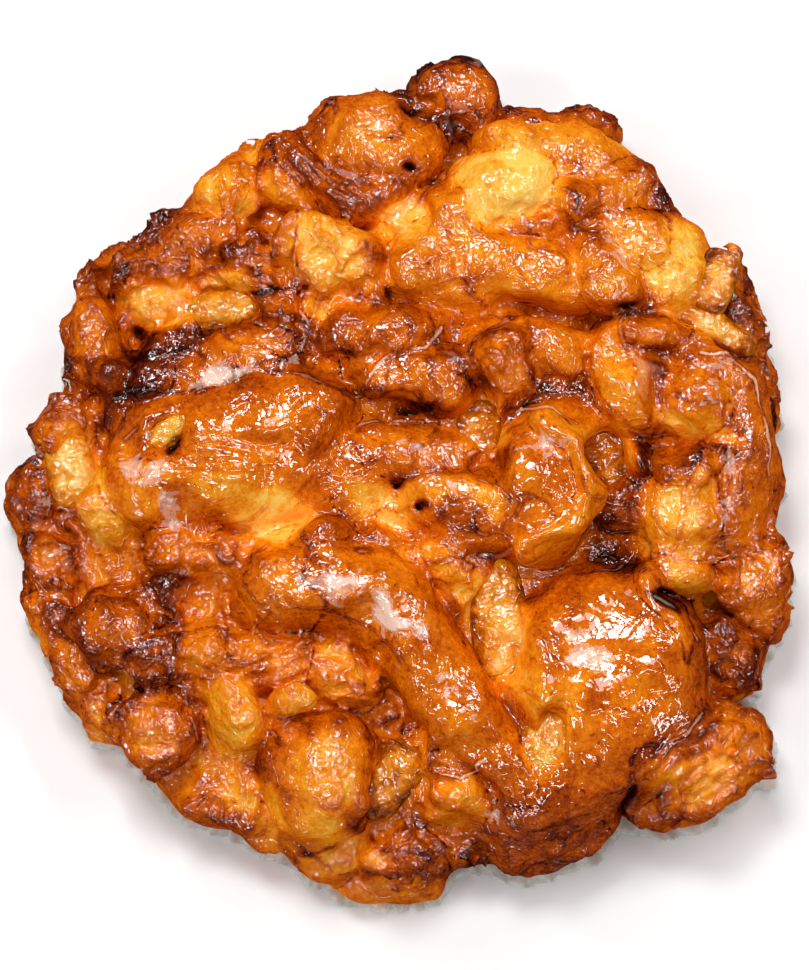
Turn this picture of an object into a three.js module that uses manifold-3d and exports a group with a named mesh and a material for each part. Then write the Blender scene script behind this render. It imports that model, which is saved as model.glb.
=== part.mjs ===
// An apricot fritter: one solid of lumpy fried dough, with pieces of soft fruit seated in it.
// Millimetres, +Z up. The origin is on the flat underside, at the middle of the outline.

import * as THREE from "three";
import { mergeVertices } from "three/addons/utils/BufferGeometryUtils.js";
import Module from "manifold-3d";

// Driving dimensions of the dough
const BODY = { x: 0, y: -1.5, z: 8.5, halfWidth: 57.6, halfLength: 62.4, halfHeight: 13.8 };
const BODY_PLAN_POWER = 2.1; // how square the outline of the body is
const BODY_SIDE_POWER = 2.5; // how square its side is, seen level
const FULLNESS = 1.2; // how far the lobes swell against each other
const RIM_FULLNESS = 0.99; // the same, for the lobes that make the outline
const RIM_RADIUS = 47; // lobes further out than this make the outline
const LOBE_POWER = 2.15; // 2 is an ellipsoid, more is blunter
const BLEND = 2.6; // width of the fillet where two lobes meet
const UNEVEN = { size: 11, sideways: 1.8, upward: 1.2 }; // how lobes depart from true ellipsoids
const CRAG = { size: 7, height: 0.9 }; // lumps of the crust over all of them
const UNDERSIDE = 0; // the dough is cut flat here, where it lies
const GRAIN = 3.27; // side of the facets
const SAMPLED = { margin: 14, low: -10, high: 40 }; // how far past the body its form is worked out

// Driving dimensions of the fruit
const SEAT_GAP = 0.32; // clearance between a piece of fruit and its pocket
const FRUIT_POWER = 2.7;
const FRUIT_DETAIL = 2;
const FRUIT_UNEVEN = { size: 3.6, height: 0.35 };
const FRUIT_SHOWS = 6; // depth below its crown down to which the dough stays open above it
const FRUIT_OPENING = 0.85; // how much of its length and width the dough leaves open

const DOUGH_COLOUR = 0xb5601c;
const FRUIT_COLOUR = 0xe3bb62;

// Each lobe: name, x, y, height of its crown, half length, half width, depth below the crown, and
// the turn of its length from +X in degrees.
const LOBES = [
  ["knob", 8.9, 64.6, 21, 7.8, 6.2, 8, -20],
  ["knob_neck", 6.5, 60, 18, 7, 5, 8, 0],
  ["top_left_edge", -9.7, 59.6, 21, 10.5, 4.6, 9, 25],
  ["top_left_bulge", -5.8, 57.5, 27, 9, 7, 11, 15],
  ["top_left_ridge", -11.7, 50.8, 28, 10.5, 4, 9, -38],
  ["pink_bump", 0.5, 54.5, 27, 6, 4.6, 9, 10],
  ["pink_curl", -3, 49.5, 27, 4.5, 3.5, 7, -30],
  ["top_right_edge", 26, 59.8, 20, 10.5, 4.4, 9, -10],
  ["top_right_slab", 26, 53.4, 26, 12, 7.6, 12, -12],
  ["yellow_dome", 17.5, 48, 30, 9.5, 6.5, 10, 5],
  ["yellow_bump", 17.5, 56.3, 27, 6, 4, 8, -10],
  ["dome_foot", 22, 42, 27.5, 7.5, 4.2, 9, -15],
  ["pink_bead", 28, 46.7, 30, 4, 3.3, 7, 10],
  ["right_shoulder", 35.8, 47.2, 26, 7, 6, 10, -20],
  ["right_top_edge", 40, 44.6, 21, 7.5, 5.2, 9, -48],
  ["upper_right_bulge", 45.2, 35.4, 26, 9.5, 6.8, 11, -45],
  ["upper_right_strap", 39, 39.8, 28, 8, 4.4, 9, -30],
  ["blunt_lobe", 34.2, 34.5, 31, 8.8, 6, 11, -58],
  ["strap_upper", 17.5, 35.2, 30, 14, 5.4, 10, -20],
  ["strap_left", 5.8, 34.7, 29, 7.5, 5, 10, -25],
  ["pale_valley", 0, 43, 24, 6.5, 5.5, 9, 0],
  ["glazed_ridge", 10.8, 41.3, 29, 6.5, 3, 8, -40],
  ["upper_left_orange", -28.7, 48.8, 24, 6.8, 6, 10, 20],
  ["upper_left_edge", -34.2, 43.4, 19, 7, 4.8, 9, 45],
  ["upper_left_pink", -18.3, 48.8, 25, 5.5, 3.4, 8, -15],
  ["upper_left_dark", -17.5, 54.2, 24, 5, 2.8, 8, -25],
  ["upper_left_rim", -22.5, 55, 18, 7, 4.2, 8, 27],
  ["upper_left_strap", -33.3, 40.8, 25, 9.5, 4.8, 10, 12],
  ["upper_left_fold", -36.5, 35.8, 23, 9.5, 3.4, 9, -4],
  ["dark_knob", -46.3, 36, 22, 4.8, 4, 8, 80],
  ["dark_knob_small", -51.5, 34, 17, 4, 3, 7, 70],
  ["rim_upper_left", -40.9, 39, 18, 5.5, 3.2, 8, 10],
  ["pale_sheet", -39.2, 29.7, 19.5, 8.5, 4.8, 9, -15],
  ["ribbed", -24.2, 34.7, 26, 6, 4.2, 9, -60],
  ["ribbed_low", -20.8, 27.2, 27, 6.5, 3.8, 9, -50],
  ["rosette", -13, 38, 29, 7.3, 6.3, 10, -25],
  ["rosette_rim", -18.3, 40.3, 28, 4.5, 2.8, 8, 65],
  ["pale_spot", -10.8, 29.2, 24, 6, 3.5, 9, 0],
  ["under_rosette", -5, 32.2, 25.5, 5, 3.5, 8, -50],
  ["left_finger", -51.3, 22.5, 24, 8.8, 4.6, 10, 95],
  ["left_finger_edge", -55, 21.8, 17, 7.5, 2.8, 8, 97],
  ["dark_bead_upper", -35.5, 23.8, 25, 3.4, 2.6, 6, 30],
  ["dark_bead_middle", -40, 21.8, 25, 3.6, 3, 7, 20],
  ["dark_bead_lower", -41.7, 17.2, 25, 4.2, 3, 7, 30],
  ["purple_knob", -48.3, 16.8, 25, 4.6, 3.8, 8, 0],
  ["left_wedge", -45, 12, 24, 6, 3.2, 9, 10],
  ["left_strap", -29.2, 19.5, 28, 12, 4.4, 10, 25],
  ["left_dome", -28.5, 3.4, 32, 17.5, 11.5, 15, 8],
  ["left_dome_nose", -41.5, -0.8, 30, 6.5, 5.6, 11, 70],
  ["left_dome_crown", -18.8, 10, 33, 9, 6.2, 12, -10],
  ["rim_left_upper", -55.2, 9.4, 20, 6, 5, 9, 40],
  ["rim_left_middle", -61, -4.6, 16, 7.6, 4, 8, 97],
  ["rim_left_lower", -59.6, -13.6, 18, 6, 4.4, 9, 85],
  ["rim_left_lowest", -58.2, -21.2, 17, 6.5, 4.2, 8, 105],
  ["left_inner", -48.3, -5.3, 25, 7.2, 4.8, 10, 95],
  ["small_bump_left", -38, -11.5, 27, 4, 3, 7, -10],
  ["small_bump_right", -30, -12.8, 26.5, 5.5, 3.2, 8, 5],
  ["amber_hollow", -38.5, -19, 21, 6, 3.5, 8, -15],
  ["brown_lump", -47.5, -23.2, 27, 7.6, 5.6, 11, -20],
  ["brown_lump_low", -41.3, -28, 26, 4.8, 3.6, 8, -30],
  ["rim_lower_left", -52.8, -29.8, 18, 6.5, 4.5, 9, -60],
  ["rim_lower_left_end", -48.2, -38.8, 17, 6.8, 3.4, 9, -52],
  ["nut", -41.7, -42, 26, 6.8, 6.2, 10, -50],
  ["lower_left_side", -35, -50.6, 15, 9.5, 4, 8, -38],
  ["amber_side", -24.6, -54.4, 18, 7, 4.5, 9, -38],
  ["lower_left_yellow", -27.2, -38.7, 28, 7.8, 6, 12, -70],
  ["wrinkled", -22.5, -29.3, 28, 8.5, 4.6, 10, -5],
  ["wrinkled_left", -32.5, -29.5, 27, 5, 4, 9, 30],
  ["wrinkled_right", -10, -32.8, 27, 6.5, 4.8, 10, -30],
  ["wrinkled_bead", -17.8, -37, 30, 3.6, 2.8, 6, 25],
  ["round_bump", -13.4, -49.4, 30.5, 11, 10.4, 14, 60],
  ["side_wall", -16.3, -58.4, 13, 10, 4.2, 9, -36],
  ["ridge_head", -18.3, -17.8, 32, 9.5, 7, 13, 8],
  ["ridge_bump", -13, -9.7, 33, 4.4, 3.8, 8, 60],
  ["bean_head", 23.4, -1.2, 34, 12, 8.9, 14, 78],
  ["bean_tail", 11, -4.3, 31.5, 9, 5.6, 12, -12],
  ["middle_lobe", 0, 5.2, 29, 10, 4.4, 10, -10],
  ["middle_plain", -9.2, 1.3, 28, 7.5, 6, 10, -30],
  ["middle_roll", 1.3, 17.2, 30, 9.5, 4.4, 10, -3],
  ["upper_middle", -2.5, 23.5, 31, 9.3, 4.6, 10, 5],
  ["egg", 16.7, 18.1, 33, 6, 4.4, 9, -62],
  ["middle_strap", 21.5, 23.2, 29, 13, 4.5, 10, -12],
  ["middle_right", 26.7, 13.8, 25.5, 8, 4, 9, 5],
  ["small_pink", 8, 13.5, 29, 3.2, 2.6, 6, 40],
  ["pale_middle", -2.5, -5, 23.5, 8.5, 6, 9, -20],
  ["orange_middle", 7.5, -14.8, 28, 6.8, 5, 10, -50],
  ["yellow_valley", -22, -7.8, 24, 5.5, 4.5, 8, 30],
  ["ridge_step", -3.6, -11.2, 27, 7, 3.4, 9, -15],
  ["right_lobe", 37.5, 14.7, 30, 8, 5.4, 11, 95],
  ["right_ridge", 41.7, 23.6, 29, 9, 3.4, 9, -3],
  ["right_middle", 48.8, 14, 28, 8, 6.5, 11, -30],
  ["right_lower", 47.5, -5.6, 29, 10.2, 8, 12, 75],
  ["right_brown_cap", 48.3, 2.2, 30, 6, 3.4, 8, -10],
  ["right_lip", 46.2, -16.8, 26, 6.5, 3, 9, -18],
  ["rim_right_top", 57.4, 27, 19, 6.4, 4, 9, 110],
  ["rim_right_knob", 55.4, 33.2, 19, 4, 3.4, 8, 50],
  ["rim_right_notch", 59.2, 20.8, 17, 4.6, 3, 8, 100],
  ["rim_right_upper", 59, 14, 19, 8.5, 4, 9, 97],
  ["rim_right_middle", 56.2, 1.5, 19, 7.5, 4, 9, 85],
  ["rim_right_lower", 58.2, -17.6, 22, 9.3, 6.3, 11, 95],
  ["rim_right_dark", 54.2, -29.5, 20, 6, 5.5, 10, -60],
  ["rim_right_bead", 57.4, -30.4, 14, 4, 3, 6, 100],
  ["right_inner", 36.7, -4.5, 25, 4.8, 4, 9, 90],
  ["dark_bead_right", 39.2, 3, 28.5, 3, 2.1, 6, 105],
  ["lower_right_slab", 33.3, -32.8, 33, 17.8, 15, 16, 100],
  ["bottom_right_edge", 24.2, -53.7, 24.5, 11.6, 8, 13, 10],
  ["lower_right_lobe", 49.9, -47.5, 24, 13.4, 8.6, 12, 33],
  ["lower_right_step", 46.5, -38.4, 21, 5, 3, 8, 45],
  ["bottom_lump", 0, -61.2, 19, 8, 6.5, 10, 20],
  ["bottom_edge", -1.5, -66.4, 11, 7.8, 4.2, 7, -4],
  ["bottom_brown", 13.5, -58.4, 15, 7, 4.8, 9, 5],
  ["pale_lobe", 9.7, -52.8, 25, 5.5, 4, 9, 15],
  ["small_brown", 5, -45.5, 26, 5.5, 4.2, 9, -35],
];

// Long rolls of dough: a path of x, y and crown height, with the half width at its two ends.
const ROLLS = [
  {
    name: "long_fold",
    path: [[-12, -16.6, 33], [-3, -19.5, 33.5], [4.5, -29.5, 33], [11, -40, 32], [19, -49, 28]],
    from: 7.2,
    to: 5.4,
    depth: 13,
  },
  {
    name: "right_crescent",
    path: [[49, 21.5, 26], [55.8, 16, 26], [57.2, 5, 25.5], [54.6, -7, 25]],
    from: 5,
    to: 5.4,
    depth: 10,
  },
];

// Dark hollows between the lobes: name, x, y, height of the bottom, half length, half width, turn.
const HOLLOWS = [
  ["under_bean", 36.6, -14.4, 18, 4.6, 2.8, -25],
  ["beside_slab", 44.8, -20.8, 20, 4.6, 2, -24],
  ["left_hole", -44.7, 24, 15, 2.9, 2.4, -40],
  ["slab_crevice", 37.2, -54.5, 11, 3.4, 1.8, 75],
  ["middle_slot", 1.2, 11.2, 21.5, 4.8, 2, -6],
];
const HOLLOW_REACH = 40; // every hollow opens upwards, from above the crowns
const HOLLOW_BLEND = 2;
const HOLLOW_POWER = 2;
const OPENING_POWER = 2.6; // openings over fruit are blunter than hollows

// Pieces of fruit: name, x, y, height of the crown, half length, half width, half height, turn.
const FRUIT = [
  ["apricot_upper_right", 53.2, 34, 24.8, 5.5, 2.9, 4.4, 70],
  ["apricot_right_strip", 52.2, 25.6, 23, 6.7, 2.3, 3.8, -24],
  ["apricot_left", -55.4, 2.4, 18.4, 6.2, 4.2, 4.4, 100],
  ["apricot_left_pocket", -39.2, 7.4, 29.4, 5.3, 2.5, 3.8, 42],
  ["apricot_upper_left", -29.2, 28.7, 23.4, 7, 4.1, 4.6, 10],
  ["apricot_right_pocket", 34.4, 3.8, 23.9, 7.7, 4.8, 5, -56],
  ["apricot_middle", 13.3, 8.8, 23.2, 6, 4.6, 4.6, -70],
  ["apricot_long", 16.8, -26, 24.6, 13.7, 4.8, 5.6, 99],
  ["apricot_lower_right", 24.8, -44.4, 28.7, 6.2, 4.3, 4.4, 62],
  ["apricot_lower", -1.4, -49.6, 22.4, 7.7, 4.1, 4.6, 52],
];

const SEED = { x: 1, y: 3, z: 5, crag: 11, fruit: 21 };
const REACH = 6; // how far outside a lobe its field is still needed
const SKIN = 28; // height at which the hollows are placed
const TINY = 1e-6;

// Frequencies and swing of the wave that the repeatable numbers are taken from.
const WAVE = { x: 12.9898, y: 78.233, z: 37.719, seed: 4.581, swing: 4375.5453 };

// One repeatable number from -1 to 1 for each point of a lattice.
function lattice(i, j, k, seed) {
  const turn = i * WAVE.x + j * WAVE.y + k * WAVE.z + seed * WAVE.seed;
  const wave = WAVE.swing * Math.sin(turn);
  return 2 * (wave - Math.floor(wave)) - 1;
}

const eased = (t) => t * t * (3 - 2 * t);

// Smooth noise from -1 to 1, with lumps of the given size.
function noise(x, y, z, size, seed) {
  const at = [x / size, y / size, z / size];
  const cell = at.map(Math.floor);
  const [u, v, w] = at.map((value, axis) => eased(value - cell[axis]));
  let total = 0;
  for (const i of [0, 1]) {
    for (const j of [0, 1]) {
      for (const k of [0, 1]) {
        const weight = (i ? u : 1 - u) * (j ? v : 1 - v) * (k ? w : 1 - w);
        total += weight * lattice(cell[0] + i, cell[1] + j, cell[2] + k, seed);
      }
    }
  }
  return total;
}

// Moves a point a little, so that every lobe comes out uneven.
function unevenPoint(x, y, z) {
  const { size, sideways, upward } = UNEVEN;
  return [
    x + sideways * noise(x, y, z, size, SEED.x),
    y + sideways * noise(x, y, z, size, SEED.y),
    z + upward * noise(x, y, z, size, SEED.z),
  ];
}

// Smaller of two distances, with a fillet of the given width.
function joined(a, b, width) {
  const overlap = Math.max(width - Math.abs(a - b), 0) / width;
  return Math.min(a, b) - (overlap * overlap * width) / 4;
}

// Distance to the flattened body that carries the lobes.
function bodyDistance(x, y, z) {
  const along = Math.abs(x - BODY.x) / BODY.halfWidth;
  const across = Math.abs(y - BODY.y) / BODY.halfLength;
  const radius = (along ** BODY_PLAN_POWER + across ** BODY_PLAN_POWER) ** (1 / BODY_PLAN_POWER);
  const level = Math.abs(z - BODY.z) / BODY.halfHeight;
  const sum = radius ** BODY_SIDE_POWER + level ** BODY_SIDE_POWER;
  const size = sum ** (1 / BODY_SIDE_POWER) + TINY;
  const steepness = Math.hypot(
    (radius / size) ** (BODY_SIDE_POWER - 1) / BODY.halfWidth,
    (level / size) ** (BODY_SIDE_POWER - 1) / BODY.halfHeight,
  );
  return (size - 1) / (steepness + TINY);
}

// Distance to a blunt ellipsoid whose length is turned in plan.
function lobeDistance(x, y, z, [cx, cy, cz], [a, b, c], turn, power) {
  const angle = THREE.MathUtils.degToRad(turn);
  const dx = x - cx;
  const dy = y - cy;
  const u = Math.abs(dx * Math.cos(angle) + dy * Math.sin(angle)) / a + TINY;
  const v = Math.abs(dy * Math.cos(angle) - dx * Math.sin(angle)) / b + TINY;
  const w = Math.abs(z - cz) / c + TINY;
  const size = (u ** power + v ** power + w ** power) ** (1 / power);
  const slope = Math.hypot(u ** (power - 1) / a, v ** (power - 1) / b, w ** (power - 1) / c);
  return (size - 1) / (size ** (1 - power) * slope);
}

// Distance to a roll that follows a path.
function rollDistance(x, y, z, { path, from, to, depth }) {
  let nearest = Infinity;
  for (let i = 0; i + 1 < path.length; i += 1) {
    const [ax, ay, az] = path[i];
    const [bx, by, bz] = path[i + 1];
    const ex = bx - ax;
    const ey = by - ay;
    const t = THREE.MathUtils.clamp(((x - ax) * ex + (y - ay) * ey) / (ex * ex + ey * ey), 0, 1);
    const width = FULLNESS * (from + ((to - from) * (i + t)) / (path.length - 1));
    const aside = Math.hypot(x - ax - t * ex, y - ay - t * ey) / width;
    const up = (z - az - (bz - az) * t + depth) / depth;
    const size = Math.hypot(aside, up) + TINY;
    const slope = Math.hypot(aside / width, up / depth) / size + TINY;
    nearest = Math.min(nearest, (size - 1) / slope);
  }
  return nearest;
}

// Lobes inside the outline, rolls, hollows and openings go where the unevenness carries their named
// places, so that they show at those places.
const lobes = LOBES.map(([, x, y, crown, length, width, depth, turn]) => {
  const outer = Math.hypot(x, y) > RIM_RADIUS;
  const full = outer ? RIM_FULLNESS : FULLNESS;
  const [u, v, w] = outer ? [x, y, crown] : unevenPoint(x, y, crown);
  const radii = [length * full, width * full, depth];
  return { centre: [u, v, w - depth], radii, turn, reach: Math.max(...radii) + REACH };
});
const rolls = ROLLS.map((roll) => ({ ...roll, path: roll.path.map((place) => unevenPoint(...place)) }));

function opening(x, y, z, bottom, length, width, turn, power) {
  const [u, v] = unevenPoint(x, y, z);
  return { centre: [u, v, HOLLOW_REACH], radii: [length, width, HOLLOW_REACH - bottom], turn, power };
}

// The dark hollows, and the opening over each piece of fruit.
const openings = [
  ...HOLLOWS.map(([, x, y, bottom, length, width, turn]) =>
    opening(x, y, SKIN, bottom, length, width, turn, HOLLOW_POWER),
  ),
  ...FRUIT.map(([, x, y, crown, length, width, , turn]) => {
    const sides = [FRUIT_OPENING * length, FRUIT_OPENING * width];
    return opening(x, y, crown, crown - FRUIT_SHOWS, ...sides, turn, OPENING_POWER);
  }),
];

// Signed distance to the dough, negative inside.
function doughDistance(x, y, z) {
  const [u, v, w] = unevenPoint(x, y, z);
  let distance = bodyDistance(u, v, w);
  for (const { centre, radii, turn, reach } of lobes) {
    if (Math.hypot(u - centre[0], v - centre[1]) < reach) {
      distance = joined(distance, lobeDistance(u, v, w, centre, radii, turn, LOBE_POWER), BLEND);
    }
  }
  for (const roll of rolls) {
    distance = joined(distance, rollDistance(u, v, w, roll), BLEND);
  }
  distance += CRAG.height * noise(x, y, z, CRAG.size, SEED.crag);
  for (const { centre, radii, turn, power } of openings) {
    const hollow = lobeDistance(u, v, w, centre, radii, turn, power);
    distance = -joined(-distance, hollow, HOLLOW_BLEND);
  }
  return distance;
}

// The dough sampled on a square grid of the facets' size.
function sampleGrid(halfWidth, halfLength, low, high) {
  const start = [-halfWidth, -halfLength, low];
  const count = [2 * halfWidth, 2 * halfLength, high - low].map((side) => Math.ceil(side / GRAIN) + 1);
  const values = new Float64Array(count[0] * count[1] * count[2]);
  const index = (i, j, k) => (k * count[1] + j) * count[0] + i;
  for (let k = 0; k < count[2]; k += 1) {
    for (let j = 0; j < count[1]; j += 1) {
      for (let i = 0; i < count[0]; i += 1) {
        const point = [start[0] + i * GRAIN, start[1] + j * GRAIN, start[2] + k * GRAIN];
        values[index(i, j, k)] = doughDistance(...point);
      }
    }
  }
  return { start, count, values, index };
}

const AXES = [[1, 0, 0], [0, 1, 0], [0, 0, 1]];
const PROBE = 0.25; // step over which the slope of the field is measured
const LONGEST_STEP = GRAIN / 3; // how far a point may move to come to rest on the surface
const CUBE_DIAGONALS = [[0, 7], [1, 6], [2, 5], [3, 4]];
const corner = (n) => [n & 1, (n >> 1) & 1, (n >> 2) & 1];

// Fills grid points where the surface would touch itself along an edge or at a corner.
function fillPinches({ count, values, index }) {
  const at = ([i, j, k], [a, b, c]) => index(i + a, j + b, k + c);
  const add = (p, q) => p.map((value, axis) => value + q[axis]);
  const filled = (n) => values[n] < 0;
  const fill = (n) => {
    values[n] = -TINY;
    return 1;
  };
  let changes = 1;
  while (changes) {
    changes = 0;
    for (let k = 0; k + 1 < count[2]; k += 1) {
      for (let j = 0; j + 1 < count[1]; j += 1) {
        for (let i = 0; i + 1 < count[0]; i += 1) {
          const cell = [i, j, k];
          for (let axis = 0; axis < 3; axis += 1) {
            const [p, q] = [AXES[(axis + 1) % 3], AXES[(axis + 2) % 3]];
            const square = [[0, 0, 0], p, add(p, q), q].map((offset) => at(cell, offset));
            const [a, b, c, d] = square.map(filled);
            if (a === c && b === d && a !== b) {
              changes += fill(square.find((n) => !filled(n)));
            }
          }
          const corners = [...Array(8).keys()].map((n) => at(cell, corner(n)));
          const inside = corners.filter(filled).length;
          for (const [n, m] of CUBE_DIAGONALS) {
            const ends = [corners[n], corners[m]];
            if ((inside === 2 && ends.every(filled)) || (inside === 6 && !ends.some(filled))) {
              changes += fill(corners.find((value) => !filled(value)));
            }
          }
        }
      }
    }
  }
}

// All grid points that can be reached from the first one through others that pass the test.
function reached({ count, index }, first, test) {
  const seen = new Uint8Array(count[0] * count[1] * count[2]);
  const waiting = [first];
  seen[index(...first)] = 1;
  while (waiting.length) {
    const place = waiting.pop();
    for (const axis of AXES) {
      for (const side of [-1, 1]) {
        const next = place.map((value, n) => value + side * axis[n]);
        const within = next.every((value, n) => value >= 0 && value < count[n]);
        if (within && !seen[index(...next)] && test(index(...next))) {
          seen[index(...next)] = 1;
          waiting.push(next);
        }
      }
    }
  }
  return seen;
}

// Leaves one solid with one surface: shut cavities are filled and loose scraps dropped.
function keepOneBody(grid) {
  const { start, values } = grid;
  const outside = reached(grid, [0, 0, 0], (n) => values[n] >= 0);
  values.forEach((value, n) => {
    if (value >= 0 && !outside[n]) values[n] = -TINY;
  });
  const heart = [BODY.x, BODY.y, BODY.z].map((value, axis) => Math.round((value - start[axis]) / GRAIN));
  const inside = reached(grid, heart, (n) => values[n] < 0);
  values.forEach((value, n) => {
    if (value < 0 && !inside[n]) values[n] = TINY;
  });
}

// Slope of the dough's field at a point.
function slopeAt(point) {
  return AXES.map((axis) => {
    const ahead = point.map((value, n) => value + PROBE * axis[n]);
    const behind = point.map((value, n) => value - PROBE * axis[n]);
    return (doughDistance(...ahead) - doughDistance(...behind)) / (2 * PROBE);
  });
}

// Brings a point onto the dough's surface, no further than the longest step on any axis.
function settled(point, longest) {
  const passes = 3;
  const leastSteepness = 0.6;
  const moved = [...point];
  for (let pass = 0; pass < passes; pass += 1) {
    const here = doughDistance(...moved);
    const slope = slopeAt(moved);
    const steepness = Math.max(Math.hypot(...slope), leastSteepness);
    for (const axis of [0, 1, 2]) {
      moved[axis] -= (here * slope[axis]) / steepness ** 2;
      moved[axis] = THREE.MathUtils.clamp(moved[axis], point[axis] - longest, point[axis] + longest);
    }
  }
  return moved;
}

// Takes points back to where they were before settling, where a facet has turned against the slope.
function unfolded(points, before, faces) {
  const rounds = 4;
  const [a, b, c, middle] = [0, 1, 2, 3].map(() => new THREE.Vector3());
  for (let round = 0; round < rounds; round += 1) {
    for (let n = 0; n < faces.length; n += 3) {
      const corners = faces.slice(n, n + 3);
      [a, b, c].forEach((vector, m) => vector.set(...points[corners[m]]));
      middle.copy(a).add(b).add(c).divideScalar(3);
      const facing = b.sub(a).cross(c.sub(a));
      if (facing.dot(new THREE.Vector3(...slopeAt(middle.toArray()))) <= 0) {
        corners.forEach((m) => {
          points[m] = points[m].map((value, axis) => (value + before[m][axis]) / 2);
        });
      }
    }
  }
}

// The closed surface of the sampled dough: one point in each cell that it passes through, and four
// sides round each grid edge that it crosses.
function surfaceOf(grid) {
  const { start, count, values, index } = grid;
  const before = [];
  const faces = [];
  const pointOf = new Map();
  const corners = [...Array(8).keys()].map(corner);
  for (let k = 0; k + 1 < count[2]; k += 1) {
    for (let j = 0; j + 1 < count[1]; j += 1) {
      for (let i = 0; i + 1 < count[0]; i += 1) {
        const level = corners.map(([a, b, c]) => values[index(i + a, j + b, k + c)]);
        const crossings = [];
        for (let n = 0; n < 8; n += 1) {
          for (let axis = 0; axis < 3; axis += 1) {
            const m = n | (1 << axis);
            if (m !== n && level[n] < 0 !== level[m] < 0) {
              const share = level[n] / (level[n] - level[m]);
              crossings.push(corners[n].map((value, a) => value + (a === axis ? share : 0)));
            }
          }
        }
        if (crossings.length) {
          const middle = [0, 1, 2].map((axis) => {
            const sum = crossings.reduce((total, point) => total + point[axis], 0);
            return start[axis] + GRAIN * ([i, j, k][axis] + sum / crossings.length);
          });
          pointOf.set(index(i, j, k), before.length);
          before.push(middle);
        }
      }
    }
  }
  const points = before.map((point) => settled(point, LONGEST_STEP));
  const length = (a, b) => Math.hypot(...points[a].map((value, axis) => value - points[b][axis]));
  for (let k = 1; k + 1 < count[2]; k += 1) {
    for (let j = 1; j + 1 < count[1]; j += 1) {
      for (let i = 1; i + 1 < count[0]; i += 1) {
        for (let axis = 0; axis < 3; axis += 1) {
          const [di, dj, dk] = AXES[axis];
          const here = values[index(i, j, k)] < 0;
          if (here === values[index(i + di, j + dj, k + dk)] < 0) continue;
          const [p, q] = [AXES[(axis + 1) % 3], AXES[(axis + 2) % 3]];
          const ring = [[0, 0], [1, 0], [1, 1], [0, 1]].map(([s, t]) =>
            pointOf.get(index(...[i, j, k].map((value, n) => value - s * p[n] - t * q[n]))),
          );
          const [a, b, c, d] = here ? ring : ring.reverse();
          const halves = length(a, c) < length(b, d) ? [a, b, c, a, c, d] : [a, b, d, b, c, d];
          faces.push(...halves);
        }
      }
    }
  }
  unfolded(points, before, faces);
  return { points, faces };
}

const wasm = await Module();
wasm.setup();

// A closed geometry as a solid that can be joined and cut.
function solidOf(geometry) {
  const bare = geometry.clone();
  bare.deleteAttribute("normal");
  bare.deleteAttribute("uv");
  const merged = mergeVertices(bare);
  return new wasm.Manifold(
    new wasm.Mesh({
      numProp: 3,
      vertProperties: merged.attributes.position.array,
      triVerts: new Uint32Array(merged.index.array),
    }),
  );
}

function geometryOf(solid) {
  const { vertProperties, triVerts } = solid.getMesh();
  const geometry = new THREE.BufferGeometry();
  geometry.setAttribute("position", new THREE.BufferAttribute(vertProperties, 3));
  geometry.setIndex(new THREE.BufferAttribute(triVerts, 1));
  geometry.computeVertexNormals();
  return geometry;
}

function doughSolid() {
  const margin = SAMPLED.margin;
  const grid = sampleGrid(BODY.halfWidth + margin, BODY.halfLength + margin, SAMPLED.low, SAMPLED.high);
  fillPinches(grid);
  keepOneBody(grid);
  const { points, faces } = surfaceOf(grid);
  const geometry = new THREE.BufferGeometry();
  geometry.setAttribute("position", new THREE.Float32BufferAttribute(points.flat(), 3));
  geometry.setIndex(faces);
  const side = 4 * BODY.halfLength;
  const below = new THREE.BoxGeometry(side, side, side).translate(0, 0, UNDERSIDE - side / 2);
  return solidOf(geometry).subtract(solidOf(below));
}

// A blunt, slightly uneven piece of fruit; grown swells it evenly, for the pocket it sits in.
function fruitGeometry([, x, y, crown, length, width, height, turn], grown) {
  const geometry = new THREE.IcosahedronGeometry(1, FRUIT_DETAIL);
  const position = geometry.attributes.position;
  const point = new THREE.Vector3();
  for (let n = 0; n < position.count; n += 1) {
    point.fromBufferAttribute(position, n).normalize();
    const [u, v, w] = point.toArray();
    const sum = point.toArray().reduce((total, value) => total + Math.abs(value) ** FRUIT_POWER, 0);
    const blunt = sum ** (-1 / FRUIT_POWER);
    const place = [u * length + x, v * width + y, w * height];
    const bump = FRUIT_UNEVEN.height * noise(...place, FRUIT_UNEVEN.size, SEED.fruit);
    point.multiplyScalar(blunt).multiply(new THREE.Vector3(length, width, height));
    point.setLength(point.length() + bump + grown);
    position.setXYZ(n, ...point.toArray());
  }
  geometry.rotateZ(THREE.MathUtils.degToRad(turn));
  geometry.translate(x, y, crown - height);
  return geometry;
}

const material = (color, roughness) =>
  new THREE.MeshStandardMaterial({ color, roughness, metalness: 0, flatShading: true });

function named(name, solid, finish) {
  const mesh = new THREE.Mesh(geometryOf(solid), finish);
  mesh.name = name;
  return mesh;
}

const crust = material(DOUGH_COLOUR, 0.3);
const flesh = material(FRUIT_COLOUR, 0.2);

let dough = doughSolid();
const pieces = FRUIT.map((piece) => {
  dough = dough.subtract(solidOf(fruitGeometry(piece, SEAT_GAP)));
  return named(piece[0], solidOf(fruitGeometry(piece, 0)), flesh);
});

const fritter = new THREE.Group();
fritter.name = "apricot_fritter";
fritter.add(named("dough", dough, crust), ...pieces);

// The middle of the outline goes to the origin.
const outline = new THREE.Box3().setFromObject(fritter);
const middle = outline.getCenter(new THREE.Vector3());
fritter.position.set(-middle.x, -middle.y, -outline.min.z);

export default fritter;
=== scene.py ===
"""An apricot fritter: glazed, lumpy fried dough with pieces of soft fruit seated in it.

The form is worked out in millimetres as a field of distances, in the frame in which the lobes are
placed, and the meshes made from it are moved to the model's frame in metres.
"""
import itertools
import math

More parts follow.
